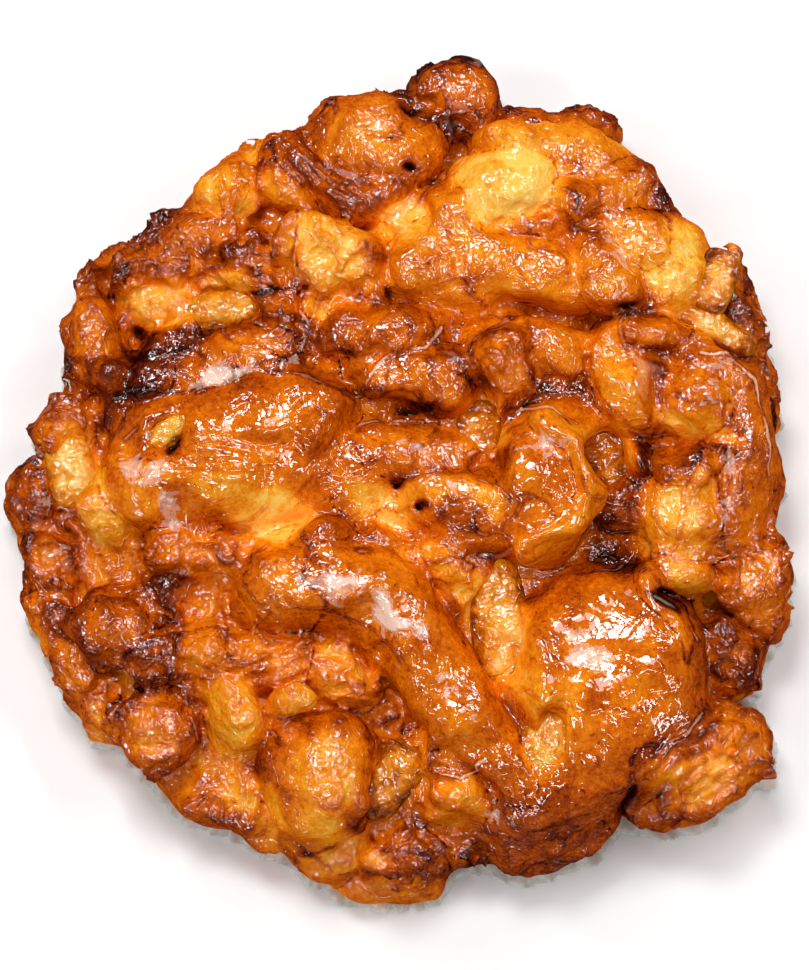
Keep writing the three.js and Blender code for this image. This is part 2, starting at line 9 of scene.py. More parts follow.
import bpy
import numpy as np
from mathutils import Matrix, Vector


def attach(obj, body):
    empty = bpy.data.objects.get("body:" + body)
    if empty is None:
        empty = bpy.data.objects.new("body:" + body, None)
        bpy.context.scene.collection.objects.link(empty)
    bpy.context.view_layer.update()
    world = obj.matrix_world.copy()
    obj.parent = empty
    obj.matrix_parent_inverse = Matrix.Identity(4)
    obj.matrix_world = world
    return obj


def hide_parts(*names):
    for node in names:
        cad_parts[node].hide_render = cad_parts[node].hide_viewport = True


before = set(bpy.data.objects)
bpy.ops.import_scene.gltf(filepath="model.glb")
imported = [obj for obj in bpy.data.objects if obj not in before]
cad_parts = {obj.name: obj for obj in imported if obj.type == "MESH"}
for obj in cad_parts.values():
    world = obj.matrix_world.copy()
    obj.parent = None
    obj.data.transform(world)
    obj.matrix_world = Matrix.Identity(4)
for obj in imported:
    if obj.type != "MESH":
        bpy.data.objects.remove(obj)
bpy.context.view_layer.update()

MM = 0.001
PLACE = (0.015, -0.58, 0.0)  # from the lobes' frame to the model's frame, in mm
CELL = 0.46  # side of the cells that the dough is meshed with, in mm
MOST_TRIANGLES = 195000

# The dough as a whole, in mm
BODY = dict(centre=(0, -1.5, 8.5), half=(57.6, 62.4, 13.8), plan_power=2.1, side_power=2.5)
BODY_TONE = 0.42
FULLNESS = 1.2  # how much larger a lobe is built than it shows
RIM_FULLNESS = 0.99  # the same for lobes further out than this radius
RIM_RADIUS = 47.0
LOBE_POWER = 2.35
LARGE = 11.0  # a lobe at least this long is parted from the next by a sharp crease
BLEND = {"large": 1.2, "small": 1.9}
# Lobes that run into the one beside them with a wide fillet of this width
MERGED = dict.fromkeys(("bean_tail", "left_dome_nose", "middle_plain", "top_left_bulge", "strap_left",
                        "lower_right_step", "small_brown", "wrinkled_left", "right_shoulder"), 4)
MERGED.update(bottom_right_edge=7, left_dome_crown=5)
UNEVEN = dict(size=11, sideways=1.8, upward=1.2)
CRAG = dict(size=7, height=0.9)
TINY = 1e-6
REACH = 6.0  # how far past its own size a lobe still counts, in mm
FAR = 9.0  # distances over this count as this, in mm
DEEPEST = 4.0  # and depths over this as this
TONE_BLEND = 0.9  # how far the tones of two lobes run into each other, in mm
CREASE = 0.8  # how far the crease between two lobes reaches, in mm
SKIN = 28.0  # height at which patches and hollows are placed, in mm
# Powers of a lobe's roughness that scale its relief: the higher, the calmer the smooth lobes
LUMPS_ROUGHER = 1.6
WRINKLES_ROUGHER = 2.6
MOST_ROUGH = 1.3

# Each lobe: x, y, height of its crown, half length, half width, depth below the crown, turn in
# degrees, how brown its crown and its foot are in percent, and how rough its skin is.
LOBES = dict(
    knob=(8.9, 65.2, 21, 7.8, 6.2, 8, -20, 44, 74, 0.85),
    knob_neck=(6.5, 60, 18, 7, 5, 8, 0, 72, 80, 1),
    top_left_edge=(-9.7, 59.6, 21, 10.5, 4.6, 9, 25, 66, 61, 1),
    top_left_bulge=(-5.8, 57.5, 27, 9, 7, 11, 15, 36, 55, 0.8),
    top_left_ridge=(-11.7, 50.8, 28, 10.5, 4, 9, -38, 62, 70, 0.9),
    pink_bump=(0.5, 54.5, 27, 6, 4.6, 9, 10, 38, 46, 0.8),
    pink_curl=(-3, 49.5, 27, 4.5, 3.5, 7, -30, 55, 66, 1),
    top_right_edge=(26, 59.8, 20, 10.5, 4.4, 9, -10, 59, 70, 1),
    top_right_slab=(26, 53.4, 26, 12, 7.6, 12, -12, 38, 38, 0.8),
    yellow_dome=(17.5, 48, 30, 9.5, 6.5, 10, 5, 0, 16, 0.8),
    yellow_bump=(17.5, 56.3, 27, 6, 4, 8, -10, 19, 34, 1),
    dome_foot=(22, 42, 27.5, 7.5, 4.2, 9, -15, 48, 62, 0.8),
    pink_bead=(28, 46.7, 30, 4, 3.3, 7, 10, 52, 44, 1),
    right_shoulder=(35.8, 47.2, 26, 7, 6, 10, -20, 39, 61, 1),
    right_top_edge=(40, 44.6, 21, 7.5, 5.2, 9, -48, 68, 74, 1.2),
    upper_right_bulge=(45.2, 35.4, 26, 9.5, 6.8, 11, -45, 8, 44, 0.9),
    upper_right_strap=(39, 39.8, 28, 8, 4.4, 9, -30, 26, 54, 1),
    blunt_lobe=(34.2, 34.5, 31, 8.8, 6, 11, -58, 40, 60, 0.9),
    strap_upper=(17.5, 35.2, 30, 14, 5.4, 10, -20, 34, 38, 0.7),
    strap_left=(5.8, 34.7, 29, 7.5, 5, 10, -25, 40, 35, 0.9),
    pale_valley=(0, 43, 24, 6.5, 5.5, 9, 0, 12, 16, 0.8),
    glazed_ridge=(10.8, 41.3, 29, 6.5, 3, 8, -40, 27, 61, 0.9),
    upper_left_orange=(-28.7, 48.8, 24, 6.8, 6, 10, 20, 24, 46, 1.1),
    upper_left_edge=(-34.2, 43.4, 19, 7, 4.8, 9, 45, 60, 80, 1.3),
    upper_left_pink=(-18.3, 48.8, 25, 5.5, 3.4, 8, -15, 36, 55, 1),
    upper_left_dark=(-17.5, 54.2, 24, 5, 2.8, 8, -25, 78, 44, 1.2),
    upper_left_rim=(-22.5, 55, 18, 7, 4.2, 8, 27, 10, 36, 1.2),
    upper_left_strap=(-33.3, 40.8, 25, 9.5, 4.8, 10, 12, 48, 65, 1.3),
    upper_left_fold=(-36.5, 35.8, 23, 9.5, 3.4, 9, -4, 53, 68, 1.2),
    dark_knob=(-46.3, 36, 22, 4.8, 4, 8, 80, 72, 57, 1.2),
    dark_knob_small=(-51.5, 34, 17, 4, 3, 7, 70, 66, 62, 1.3),
    rim_upper_left=(-40.9, 39, 18, 5.5, 3.2, 8, 10, 86, 90, 1.3),
    pale_sheet=(-39.2, 29.7, 19.5, 8.5, 4.8, 9, -15, 6, 20, 0.9),
    ribbed=(-24.2, 34.7, 26, 6, 4.2, 9, -60, 55, 68, 1.4),
    ribbed_low=(-20.8, 27.2, 27, 6.5, 3.8, 9, -50, 64, 53, 1.3),
    rosette=(-13, 38, 29, 7.3, 6.3, 10, -25, 14, 40, 1),
    rosette_rim=(-18.3, 40.3, 28, 4.5, 2.8, 8, 65, 33, 49, 1),
    pale_spot=(-10.8, 29.2, 24, 6, 3.5, 9, 0, 12, 22, 1),
    under_rosette=(-5, 32.2, 25.5, 5, 3.5, 8, -50, 36, 36, 1),
    left_finger=(-51.3, 22.5, 24, 8.8, 4.6, 10, 95, 42, 60, 0.9),
    left_finger_edge=(-55, 21.8, 17, 7.5, 2.8, 8, 97, 54, 72, 1.2),
    dark_bead_upper=(-35.5, 23.8, 27, 3.4, 2.6, 6, 30, 84, 93, 0.75),
    dark_bead_middle=(-40, 21.8, 27, 3.6, 3, 7, 20, 80, 93, 0.75),
    dark_bead_lower=(-41.7, 17.2, 27, 4.2, 3, 7, 30, 84, 95, 0.75),
    purple_knob=(-48.3, 16.8, 27, 4.6, 3.8, 8, 0, 62, 80, 0.7),
    left_wedge=(-45, 12, 24, 6, 3.2, 9, 10, 80, 84, 1.2),
    left_strap=(-29.2, 19.5, 28, 12, 4.4, 10, 25, 45, 65, 0.9),
    left_dome=(-28.5, 3.4, 32, 17.5, 11.5, 15, 8, 43, 57, 0.55),
    left_dome_nose=(-41.5, -0.8, 30, 6.5, 5.6, 11, 70, 32, 52, 0.6),
    left_dome_crown=(-18.8, 10, 33, 9, 6.2, 12, -10, 44, 62, 0.6),
    rim_left_upper=(-55.2, 9.4, 20, 6, 5, 9, 40, 48, 49, 1.5),
    rim_left_middle=(-61.8, -4.6, 16, 7.6, 4, 8, 97, 60, 57, 1.4),
    rim_left_lower=(-59.6, -13.6, 18, 6, 4.4, 9, 85, 48, 72, 1.5),
    rim_left_lowest=(-58.2, -21.2, 17, 6.5, 4.2, 8, 105, 63, 38, 1.5),
    left_inner=(-48.3, -5.3, 25, 7.2, 4.8, 10, 95, 16, 43, 1.2),
    small_bump_left=(-38, -11.5, 27, 4, 3, 7, -10, 47, 55, 1),
    small_bump_right=(-30, -12.8, 26.5, 5.5, 3.2, 8, 5, 48, 31, 1.2),
    amber_hollow=(-38.5, -19, 21, 6, 3.5, 8, -15, 72, 78, 1.2),
    brown_lump=(-47.5, -23.2, 27, 7.6, 5.6, 11, -20, 51, 66, 0.9),
    brown_lump_low=(-41.3, -28, 26, 4.8, 3.6, 8, -30, 70, 69, 1),
    rim_lower_left=(-52.8, -29.8, 18, 6.5, 4.5, 9, -60, 40, 56, 1.4),
    rim_lower_left_end=(-48.2, -38.8, 17, 6.8, 3.4, 9, -52, 35, 39, 1.2),
    nut=(-41.7, -42, 26, 6.8, 6.2, 10, -50, 38, 63, 1.7),
    lower_left_side=(-35, -50.6, 15, 9.5, 4, 8, -38, 46, 58, 1),
    amber_side=(-24.6, -54.4, 18, 7, 4.5, 9, -38, 58, 55, 1),
    lower_left_yellow=(-27.2, -38.7, 28, 7.8, 6, 12, -70, 22, 30, 1.1),
    wrinkled=(-22.5, -29.3, 28, 8.5, 4.6, 10, -5, 42, 46, 1.5),
    wrinkled_left=(-32.5, -29.5, 27, 5, 4, 9, 30, 29, 55, 1.4),
    wrinkled_right=(-10, -32.8, 27, 6.5, 4.8, 10, -30, 30, 35, 1.4),
    wrinkled_bead=(-17.8, -37, 30, 3.6, 2.8, 6, 25, 22, 34, 1.2),
    round_bump=(-13.4, -49.4, 30.5, 11, 10.4, 14, 60, 46, 68, 0.9),
    side_wall=(-16.3, -58.4, 13, 10, 4.2, 9, -36, 28, 48, 1),
    ridge_head=(-18.3, -17.8, 32, 9.5, 7, 13, 8, 39, 53, 0.7),
    ridge_bump=(-13, -9.7, 33, 4.4, 3.8, 8, 60, 55, 78, 0.8),
    bean_head=(23.4, -1.2, 34, 12, 8.9, 14, 78, 46, 49, 0.6),
    bean_tail=(11, -4.3, 31.5, 9, 5.6, 12, -12, 28, 72, 0.7),
    middle_lobe=(0, 5.2, 29, 10, 4.4, 10, -10, 47, 53, 0.8),
    middle_plain=(-9.2, 1.3, 28, 7.5, 6, 10, -30, 50, 37, 0.8),
    middle_roll=(1.3, 17.2, 30, 9.5, 4.4, 10, -3, 46, 61, 0.8),
    upper_middle=(-2.5, 23.5, 31, 9.3, 4.6, 10, 5, 51, 63, 0.8),
    egg=(16.7, 18.1, 33, 6, 4.4, 9, -62, 45, 76, 0.9),
    middle_strap=(21.5, 23.2, 29, 13, 4.5, 10, -12, 34, 54, 0.8),
    middle_right=(26.7, 13.8, 25.5, 8, 4, 9, 5, 78, 68, 0.9),
    small_pink=(8, 13.5, 29, 3.2, 2.6, 6, 40, 46, 65, 0.8),
    pale_middle=(-2.5, -5, 23.5, 8.5, 6, 9, -20, 0, 6, 0.9),
    orange_middle=(7.5, -14.8, 28, 6.8, 5, 10, -50, 19, 69, 1),
    yellow_valley=(-22, -7.8, 24, 5.5, 4.5, 8, 30, 0, 0, 0.8),
    ridge_step=(-3.6, -11.2, 27, 7, 3.4, 9, -15, 47, 55, 1),
    right_lobe=(37.5, 14.7, 30, 8, 5.4, 11, 95, 26, 60, 0.8),
    right_ridge=(41.7, 23.6, 29, 9, 3.4, 9, -3, 39, 72, 0.9),
    right_middle=(48.8, 14, 28, 8, 6.5, 11, -30, 41, 46, 0.8),
    right_lower=(47.5, -5.6, 29, 10.2, 8, 12, 75, 21, 31, 0.9),
    right_brown_cap=(48.3, 2.2, 30, 6, 3.4, 8, -10, 72, 60, 1),
    right_lip=(46.2, -16.8, 26, 6.5, 3, 9, -18, 20, 30, 0.9),
    rim_right_top=(57.4, 27, 20.5, 6.4, 4, 9, 110, 67, 57, 1.3),
    rim_right_knob=(55.4, 33.2, 20.5, 4, 3.4, 8, 50, 40, 72, 1.3),
    rim_right_notch=(59.2, 20.8, 17, 4.6, 3, 8, 100, 58, 58, 1.3),
    rim_right_upper=(59, 14, 19, 8.5, 4, 9, 97, 34, 49, 1.2),
    rim_right_middle=(56.2, 1.5, 19, 7.5, 4, 9, 85, 31, 44, 1.2),
    rim_right_lower=(58.2, -17.6, 22, 9.3, 6.3, 11, 95, 47, 54, 1.2),
    rim_right_dark=(54.2, -29.5, 20, 6, 5.5, 10, -60, 44, 60, 1.3),
    rim_right_bead=(57.4, -30.4, 14, 4, 3, 6, 100, 60, 58, 1.3),
    right_inner=(36.7, -4.5, 25, 4.8, 4, 9, 90, 74, 85, 1.1),
    dark_bead_right=(39.2, 3, 28.5, 3, 2.1, 6, 105, 100, 97, 0.6),
    lower_right_slab=(33.3, -32.8, 33, 17.8, 15, 16, 100, 42, 68, 0.55),
    bottom_right_edge=(24.2, -53.7, 24.5, 11.6, 8, 13, 10, 62, 70, 0.8),
    lower_right_lobe=(49.9, -47.5, 24, 13.4, 8.6, 12, 33, 29, 58, 1.3),
    lower_right_step=(46.5, -38.4, 21, 5, 3, 8, 45, 55, 69, 1),
    bottom_lump=(0, -61.2, 19, 8, 6.5, 10, 20, 52, 75, 1.2),
    bottom_edge=(-1.5, -66.4, 11, 7.8, 4.2, 7, -4, 26, 41, 1.2),
    # bottom_brown: dark brown crust, its near-black tone partly painted shade low on the rim
    bottom_brown=(13.5, -58.4, 15, 7, 4.8, 9, 5, 96, 93, 1.2),
    pale_lobe=(9.7, -52.8, 25, 5.5, 4, 9, 15, 24, 42, 0.9),
    small_brown=(5, -45.5, 26, 5.5, 4.2, 9, -35, 50, 57, 1),
)

# Long rolls: a path of x, y and crown height, half width at both ends, depth, then as for a lobe.
ROLLS = dict(
    long_fold=([(-12, -16.6, 33), (-3, -19.5, 33.5), (4.5, -29.5, 33), (11, -40, 32), (19, -49, 28)],
               7.2, 5.4, 13, 42, 62, 0.6),
    bean_lip=([(23, 8.5, 34.6), (29, 4.5, 34.4), (31.3, -3, 33.8), (28, -9.5, 33), (20, -11.8, 31.5)],
              1.9, 1.9, 5, 34, 30, 0.5),
    slab_lip=([(40, -19, 30.5), (45.2, -24.5, 30.8), (46.2, -31, 30.5), (43, -38, 29)],
              2.3, 2.3, 6, 36, 60, 0.5),
    right_crescent=([(49, 21.5, 26), (55.8, 16, 26), (57.2, 5, 25.5), (54.6, -7, 25)],
                    5, 5.4, 10, 50, 62, 0.8),
)

# Hollows between the lobes, with painted shade darkening the dough round them: x, y, height of the bottom,
# half length, half width, turn
HOLLOWS = dict(
    under_bean=(36.6, -14.4, 19, 4.2, 2.1, -25),
    beside_slab=(44.6, -20.6, 22, 3.6, 1, -24),
    left_hole=(-44.7, 24, 13, 2.7, 1.9, -40),
    slab_crevice=(37.2, -54.5, 10, 3, 0.9, 75),
    middle_slot=(1.4, 11.3, 20, 4.6, 1.15, -4),
    upper_crack=(-2.8, 31, 20, 1.5, 0.8, -60),
    upper_pit=(1.3, 51.8, 23, 1.2, 1.1, 0),
    knob_pit=(1.2, 62.4, 14, 1.2, 1, 0),
    chunk_pit=(15.2, -15.2, 19, 2, 1, -30),
    upper_left_pit=(-23.9, 45.5, 18, 1.3, 1.1, 0),
    dark_notch=(38, 28.4, 24, 2.6, 1, 20),
    pocket_crevice=(-38, 4.6, 25, 2.6, 0.9, 50),
    pin_hole=(-8.3, 14.3, 24, 1.1, 0.6, 20),
    valley_hole=(-0.8, -1, 21, 1, 0.4, 0),
    valley_hole_low=(3, -5.2, 21, 0.8, 0.6, 0),
)
# Tone of the painted shade that darkens the dough round each hollow
HOLLOW_SHADE_TONE = 0.87
DEEP = 0.45  # how far the painted shade of a hollow spreads from it, in mm

# Patches of pale or dark dough, a few dark ones being painted shade in holes and creases: x, y, half length,
# half width, turn, tone and strength in percent
PATCHES = dict(
    yellow_valley=(-22.5, -8, 6.5, 4.5, 15, 2, 100),
    dome_foot=(-29, -3, 7, 2.6, -25, 20, 70),
    pale_middle=(-2.5, -4, 7.5, 4, -15, 13, 95),
    pale_sheet=(-39, 30, 8.5, 4.4, -15, 20, 100),
    pale_edge=(-28, 31.5, 4.5, 3, 10, 12, 80),
    pale_valley=(0.5, 43, 5, 4, 0, 16, 90),
    rosette_heart=(-12, 38.5, 5, 4.2, -25, 14, 80),
    yellow_dome=(18, 48.5, 8.5, 6, 5, 2, 95),
    slab_gold=(24, 57, 7, 3, -10, 20, 60),
    bulge_gold=(46, 35, 6, 5, -45, 10, 90),
    strap_gold=(38, 38, 6, 3.6, -45, 26, 60),
    chunk_side=(12.2, -20, 4.6, 3.6, -60, 20, 80),
    chunk_foot=(21, -35, 4, 3, -40, 16, 80),
    long_pale=(16.5, -26, 11.5, 5.2, 99, 10, 90),
    middle_pale=(13.3, 8.8, 6, 4.6, -70, 16, 90),
    pocket_gold=(34.6, 4.6, 6.4, 5, -50, 24, 90),
    left_gold=(-51, -4, 8, 2.6, 95, 14, 80),
    left_chunk=(-55.2, 2.5, 6.4, 4.6, 100, 22, 80),
    side_amber=(-26, -53, 11, 3.2, -38, 28, 80),
    side_yellow=(-11, -60, 9, 3, -25, 20, 80),
    bump_gold=(-13, -49, 7.2, 6, 20, 26, 95),
    right_gold=(48, -4, 7, 4.4, 70, 17, 65),
    right_band=(49, 9, 9, 1.8, -25, 10, 70),
    lobe_gold=(47, -50, 7, 2.4, 30, 16, 60),
    slab_gold_low=(27, -38, 4, 3, 0, 24, 60),
    fold_gold=(2.5, -13, 7, 2.4, -30, 30, 70),
    # cavern and cavern_tail: painted shade in the dark hole under the bean and the crevice beside the slab
    cavern=(37, -14, 5, 3.4, -20, 88, 85),
    cavern_tail=(44.6, -20.8, 4, 1.3, -24, 90, 80),
    right_dark=(54, -28, 6, 6, 0, 72, 60),
    bean_dark=(9.5, -7.6, 5, 2.2, -14, 78, 60),
    bean_notch=(17.5, 2.5, 3, 1.6, 10, 75, 70),
    left_purple=(-49, 18, 4, 3.4, 20, 74, 70),
    amber_hollow=(-38.5, -19, 5, 2.4, -15, 72, 80),
    lower_pale=(-1.4, -49.6, 7.4, 4.4, 52, 30, 80),
    lower_right_pale=(24.8, -44.4, 6.2, 4.6, 62, 22, 80),
    strip_pale=(49, 26.6, 8, 2.4, -24, 18, 80),
    plate_pale=(52.6, 34, 5.4, 3.2, 70, 18, 80),
    # lobe_crease: painted shade in the crevice between the slab and the lower right lobe
    lobe_crease=(42, -46, 7, 1.6, 45, 75, 70),
    slab_foot=(25, -60, 10, 3.4, 10, 70, 60),
)

# Where the skin is drawn into fine ribs: x, y, half length, half width, turn, spacing, height
RIBS = dict(
    lower_right_lobe=(50, -47, 13, 8, 38, 1.9, 0.42),
    ribbed=(-23.5, 33, 7, 5, -8, 1.3, 0.35),
    egg=(17, 19, 6, 4, -50, 1.5, 0.25),
    left_dome_side=(-31, 2, 10, 5, -6, 1.6, 0.2),
    right_crescent=(54, 5, 10, 5, 80, 2.2, 0.25),
    top_left_ridge=(-12, 50, 9, 4, -38, 1.8, 0.25),
    round_bump_side=(-20, -50, 6, 4, 60, 1.7, 0.2),
    wrinkled=(-20, -31, 10, 5, 20, 2, 0.3),
)

HOLLOW_REACH = 40.0  # height of the middle of what cuts the openings, in mm
OPENING_FILLET = {"hollow": 1.2, "fruit": 1.8}
OPENING_POWER = {"hollow": 2, "fruit": 2.6}

# Pieces of fruit: x, y, height of the crown, half length, half width, half height, turn, how far
# it is sunk below that crown, and how much deeper its amber is than that of the others
FRUIT = dict(
    apricot_upper_right=(52.7, 33.5, 24.8, 4.3, 2.5, 4.4, 72, 2.4, 0.24),
    apricot_right_strip=(52.4, 25.5, 23.4, 5.8, 1.8, 3.8, -24, 1.7, 0.14),
    apricot_left=(-55.4, 2.4, 20, 5.2, 3.3, 4.4, 100, 2.7, 0.04),
    apricot_left_pocket=(-39, 7.2, 30.6, 4, 1.7, 3.8, 38, 2, 0.1),
    apricot_upper_left=(-29.2, 28.9, 25, 5.6, 2.9, 4.6, 10, 2.5, 0.12),
    # apricot_right_pocket: its deeper amber is partly its own colour, partly painted shade for its deep
    # pocket
    apricot_right_pocket=(34.4, 3.8, 26.5, 6.2, 3.8, 5, -56, 3.4, 0.5),
    apricot_middle=(13.2, 8.6, 24.8, 4.6, 3.6, 4.6, -70, 2, 0.3),
    apricot_long=(16.8, -26, 27, 11.4, 4, 5.6, 99, 2.6, 0.16),
    apricot_lower_right=(24.2, -44.2, 30, 4.8, 3.7, 4.4, 78, 2.2, 0.12),
    apricot_lower=(-1.4, -49.6, 24, 6.2, 3.2, 4.6, 52, 2.2, 0.3),
)
FRUIT_POWER = 2.9
# Flatter pieces and their powers
FLAT = {"apricot_upper_right": 5.0, "apricot_right_strip": 4.0, "apricot_right_pocket": 3.6}
FRUIT_SHOWS = 6.0  # how far the dough stays open below the crown of the fruit
FRUIT_SPREAD = 1.32  # under the dough's edge the fruit is this much wider than its opening
FRUIT_LUMPS = {"size": 4.2, "seed": 61, "height": 0.7}
FRUIT_WRINKLES = ((2.2, 62, 0.7), (1.1, 63, 0.3))  # size, seed and height

# Streaks and pools of pale sugar glaze, whose whitest cores are painted highlights: x, y, half length, half
# width, turn, strength
GLAZE = dict(
    fold_head=(-12, -19, 9, 4, -12, 0.7),
    fold_crest=(-1, -24, 12, 3.2, -48, 0.76),
    fold_end=(9, -38, 8, 2.6, -52, 0.6),
    dome_nose=(-41.5, 0.5, 5, 5, 60, 0.9),
    dome_nose_low=(-38.5, -5.5, 4.5, 3.2, -30, 0.8),
    dome_streak=(-31, 16, 6.5, 2.4, 28, 0.9),
    dome_seam=(-21, 19.5, 9, 1.4, 10, 0.6),
    slab_crown=(31, -31, 8, 4, -35, 0.7),
    slab_corner=(37, -24, 4.5, 2, 70, 0.8),
    bean_crown=(22, 5.5, 6, 3.6, 20, 0.72),
    bean_neck=(7, -1, 6, 2.6, -25, 0.6),
    middle_film=(1.5, 5, 5.5, 2, -25, 0.74),
    top_left_film=(-12, 52, 8, 3, -40, 0.4),
    right_film=(51, 17, 8, 3.5, -35, 0.5),
    right_rim_film=(55, -2, 3, 9, 0, 0.5),
    left_rim_film=(-57, -6, 3, 9, 10, 0.4),
    shoulder_film=(36, 36, 6, 3.6, -50, 0.5),
    lower_right_film=(52, -48, 9, 3.5, 30, 0.35),
    low_edge_film=(18, -56, 9, 3, 5, 0.4),
)

# Threads of set glaze that run along the seams, raised and painted pale, partly as highlights: strength,
# then places of x and y
THREADS = dict(
    upper_middle_foot=(1, (-6, 16.2), (-3, 19), (1, 20.6), (4.5, 21.8), (6.4, 25)),
    dome_top=(0.45, (-23, 17.4), (-16, 16.6), (-11, 14.4), (-8, 13)),
    left_curl=(0.9, (-20, 18), (-17.4, 20.5), (-15.2, 24), (-17.5, 27.5)),
    egg_left=(0.4, (10, 18.5), (11.8, 15.5), (13, 12.5)),
    egg_right=(0.5, (20.5, 17), (23, 15.2), (25.5, 14.6)),
    slot_lip=(0.6, (-9, 6.6), (-6.5, 9), (-2, 10.2), (3.5, 9.6)),
    middle_left=(0.45, (-9, 6), (-7, 3), (-4.5, 1.6)),
    bean_top=(0.8, (11, 3.6), (15, 6.4), (19.5, 10.6), (25, 10.8), (29, 8)),
    bean_streak=(0.6, (12, -0.4), (15, -2.2), (18.5, -5)),
    valley_line=(0.35, (-20.5, -6.4), (-17, -3), (-14, 0)),
    dome_streak=(0.6, (-34, 13.6), (-30, 16), (-25, 17.4), (-20, 20.4)),
    left_wedge=(0.35, (-50, 5.5), (-47.4, 8), (-45.4, 12.4)),
    pocket_edge=(0.5, (-46.6, 6), (-42.4, 8.6), (-38.4, 12)),
    crescent_rim=(1, (50, 20.4), (55, 21), (59, 16), (61.4, 8), (61.2, 1)),
    right_strap=(0.7, (45.6, 8.6), (50, 6), (55, 4.4)),
    right_cross=(0.5, (44, 13.6), (50, 12.6), (57, 12)),
    slab_edge=(0.6, (40.6, -19.6), (45.6, -22.6), (48.6, -27.6)),
    slab_low=(0.5, (20, -36), (25, -39.4), (28.5, -40.4)),
    nut_side=(0.6, (-35, -40), (-33.6, -43), (-32, -46.4)),
    rim_left_line=(0.4, (-62.6, -6), (-58, -7), (-54, -9)),
    upper_line=(0.5, (10.8, 44), (12.4, 40.6), (16, 37.6), (22, 36)),
    top_line=(0.45, (4, 50), (8.6, 51.6), (12, 56)),
    dome_right=(0.5, (24, 46), (28, 42), (34, 40)),
    lower_right_lip=(0.8, (19.6, -41), (19, -45), (21, -50)),
    lobe_fold=(0.7, (43.5, -45.6), (47, -43), (51, -38)),
    fold_line=(0.4, (-22, -21), (-12, -22.4), (-4, -25.6), (2, -33)),
    low_curl=(0.8, (5, -49), (9.6, -50.4), (13.6, -47.6)),
)
THREAD = dict(width=0.32, height=0.4, breaks=3.5)
STRAY = dict(strength=0.45, patches=13, apart=8.5, width=0.05)  # strands on no named path

# The skin's lumps and wrinkles: size and height in mm, and the seed of their noise
LUMPS = dict(size=4.8, seed=41, height=0.95, mean=0.35)
WRINKLES = dict(size=3.2, seed=42, height=1.15, sharpness=3, mean=0.33)
FINE_WRINKLES = dict(size=1.6, seed=43, height=0.4, sharpness=2, mean=0.45)
CALM = dict(size=9, seed=44, least=0.35, range=1.3)
CREST = 0.006  # how rounded their crests are
FOOT = dict(height=13, relief=0.12)  # below this height they fade to this share
# Swirls that bend a pattern: size and strength in mm, and the seed of their noise
SWIRLS = dict(
    crumples=(4.6, 1.1, 21),
    lumps=(7, 1.7, 31),
    wrinkles=(3.6, 0.8, 51),
    fruit=(4, 1.5, 64),
    glaze=(5, 1.6, 71),
    strays=(8, 3.4, 81),
    threads=(4, 0.9, 95),
    ribs=(5, 1, 101),
)
# How patches fade over their edge: where they end, as a share of their size, and how steeply
FADE = dict(patch=(1.15, 2.4), ribs=(1.1, 2), glaze=(1.25, 1))

# Rings of the glaze's skirt: how far inside the dough's edge, share of the skirt's width, height, in mm
SKIRT_RINGS = ((7, 0, 0.5), (1.6, 0, 1.2), (0.4, 0.4, 1.3), (0.4, 0.75, 1.1), (0.4, 1, 0.9))
SKIRT = dict(points=1440, thickness=0.3, narrowest=0.1, widening=1.1, widest_at=-75, uneven=0.3, ruffle=0.6)


def lattice(i, j, k, seed):
    """One repeatable number from -1 to 1 for each point of a lattice."""
    wave = np.sin(i * 12.9898 + j * 78.233 + k * 37.719 + seed * 4.581) * 4375.5453
    return 2 * (wave - np.floor(wave)) - 1


def noise(points, size, seed):
    """Smooth noise from -1 to 1, with lumps of the given size."""
    scaled = points / size
    cell = np.floor(scaled).astype(np.int32)
    share = scaled - cell
    share = share * share * (3 - 2 * share)
    low = cell.min(axis=0)
    span = cell.max(axis=0) - low + 2
    axes = [np.arange(count, dtype=np.float64) + start for count, start in zip(span, low)]
    table = lattice(*np.meshgrid(*axes, indexing="ij"), seed).ravel()
    cell -= low
    at = (cell[:, 0] * span[1] + cell[:, 1]) * span[2] + cell[:, 2]
    ends = (1 - share, share)
    total = np.zeros(len(points))
    for i, j, k in itertools.product((0, 1), repeat=3):
        weight = ends[i][:, 0] * ends[j][:, 1] * ends[k][:, 2]
        total += weight * table[at + ((i * span[1] + j) * span[2] + k)]
    return total


def swirled(points, name):
    """Moves points along a slow swirl, which draws a pattern out into folds."""
    size, strength, seed = SWIRLS[name]
    shift = [noise(points, size, seed + n) for n in range(3)]
    return points + strength * np.stack(shift, axis=1)


def crumpled(points):
    """Moves points so that the lobes come out uneven and folded."""
    shift = (UNEVEN["sideways"], UNEVEN["sideways"], UNEVEN["upward"])
    moved = [points[:, n] + shift[n] * noise(points, UNEVEN["size"], 1 + 2 * n) for n in range(3)]
    return swirled(np.stack(moved, axis=1), "crumples")


def carried(x, y, z):
    """Where a named place is moved to, so that what is built there shows at it."""
    return crumpled(np.array([[x, y, z]], float))[0]


def joined(a, b, width):
    """Smaller of two distances, with a fillet of the given width."""
    overlap = np.maximum(width - np.abs(a - b), 0) / width
    return np.minimum(a, b) - overlap * overlap * width / 4


def turned(points, x, y, turn):
    """How far points are from a place in plan, along a direction and across it."""
    angle = math.radians(turn)
    right, up = points[:, 0] - x, points[:, 1] - y
    return right * math.cos(angle) + up * math.sin(angle), up * math.cos(angle) - right * math.sin(angle)


def within(points, x, y, reach):
    """Which points are within reach of a place in plan."""
    return np.flatnonzero(np.hypot(points[:, 0] - x, points[:, 1] - y) < reach)


def beside(points, a, b):
    """How far along a line in plan the points are, as a share of it, and how far off it."""
    run, offset = (b - a)[:2], points[:, :2] - a[:2]
    t = np.clip(offset @ run / (run @ run), 0, 1)
    return t, np.linalg.norm(offset - t[:, None] * run, axis=1)


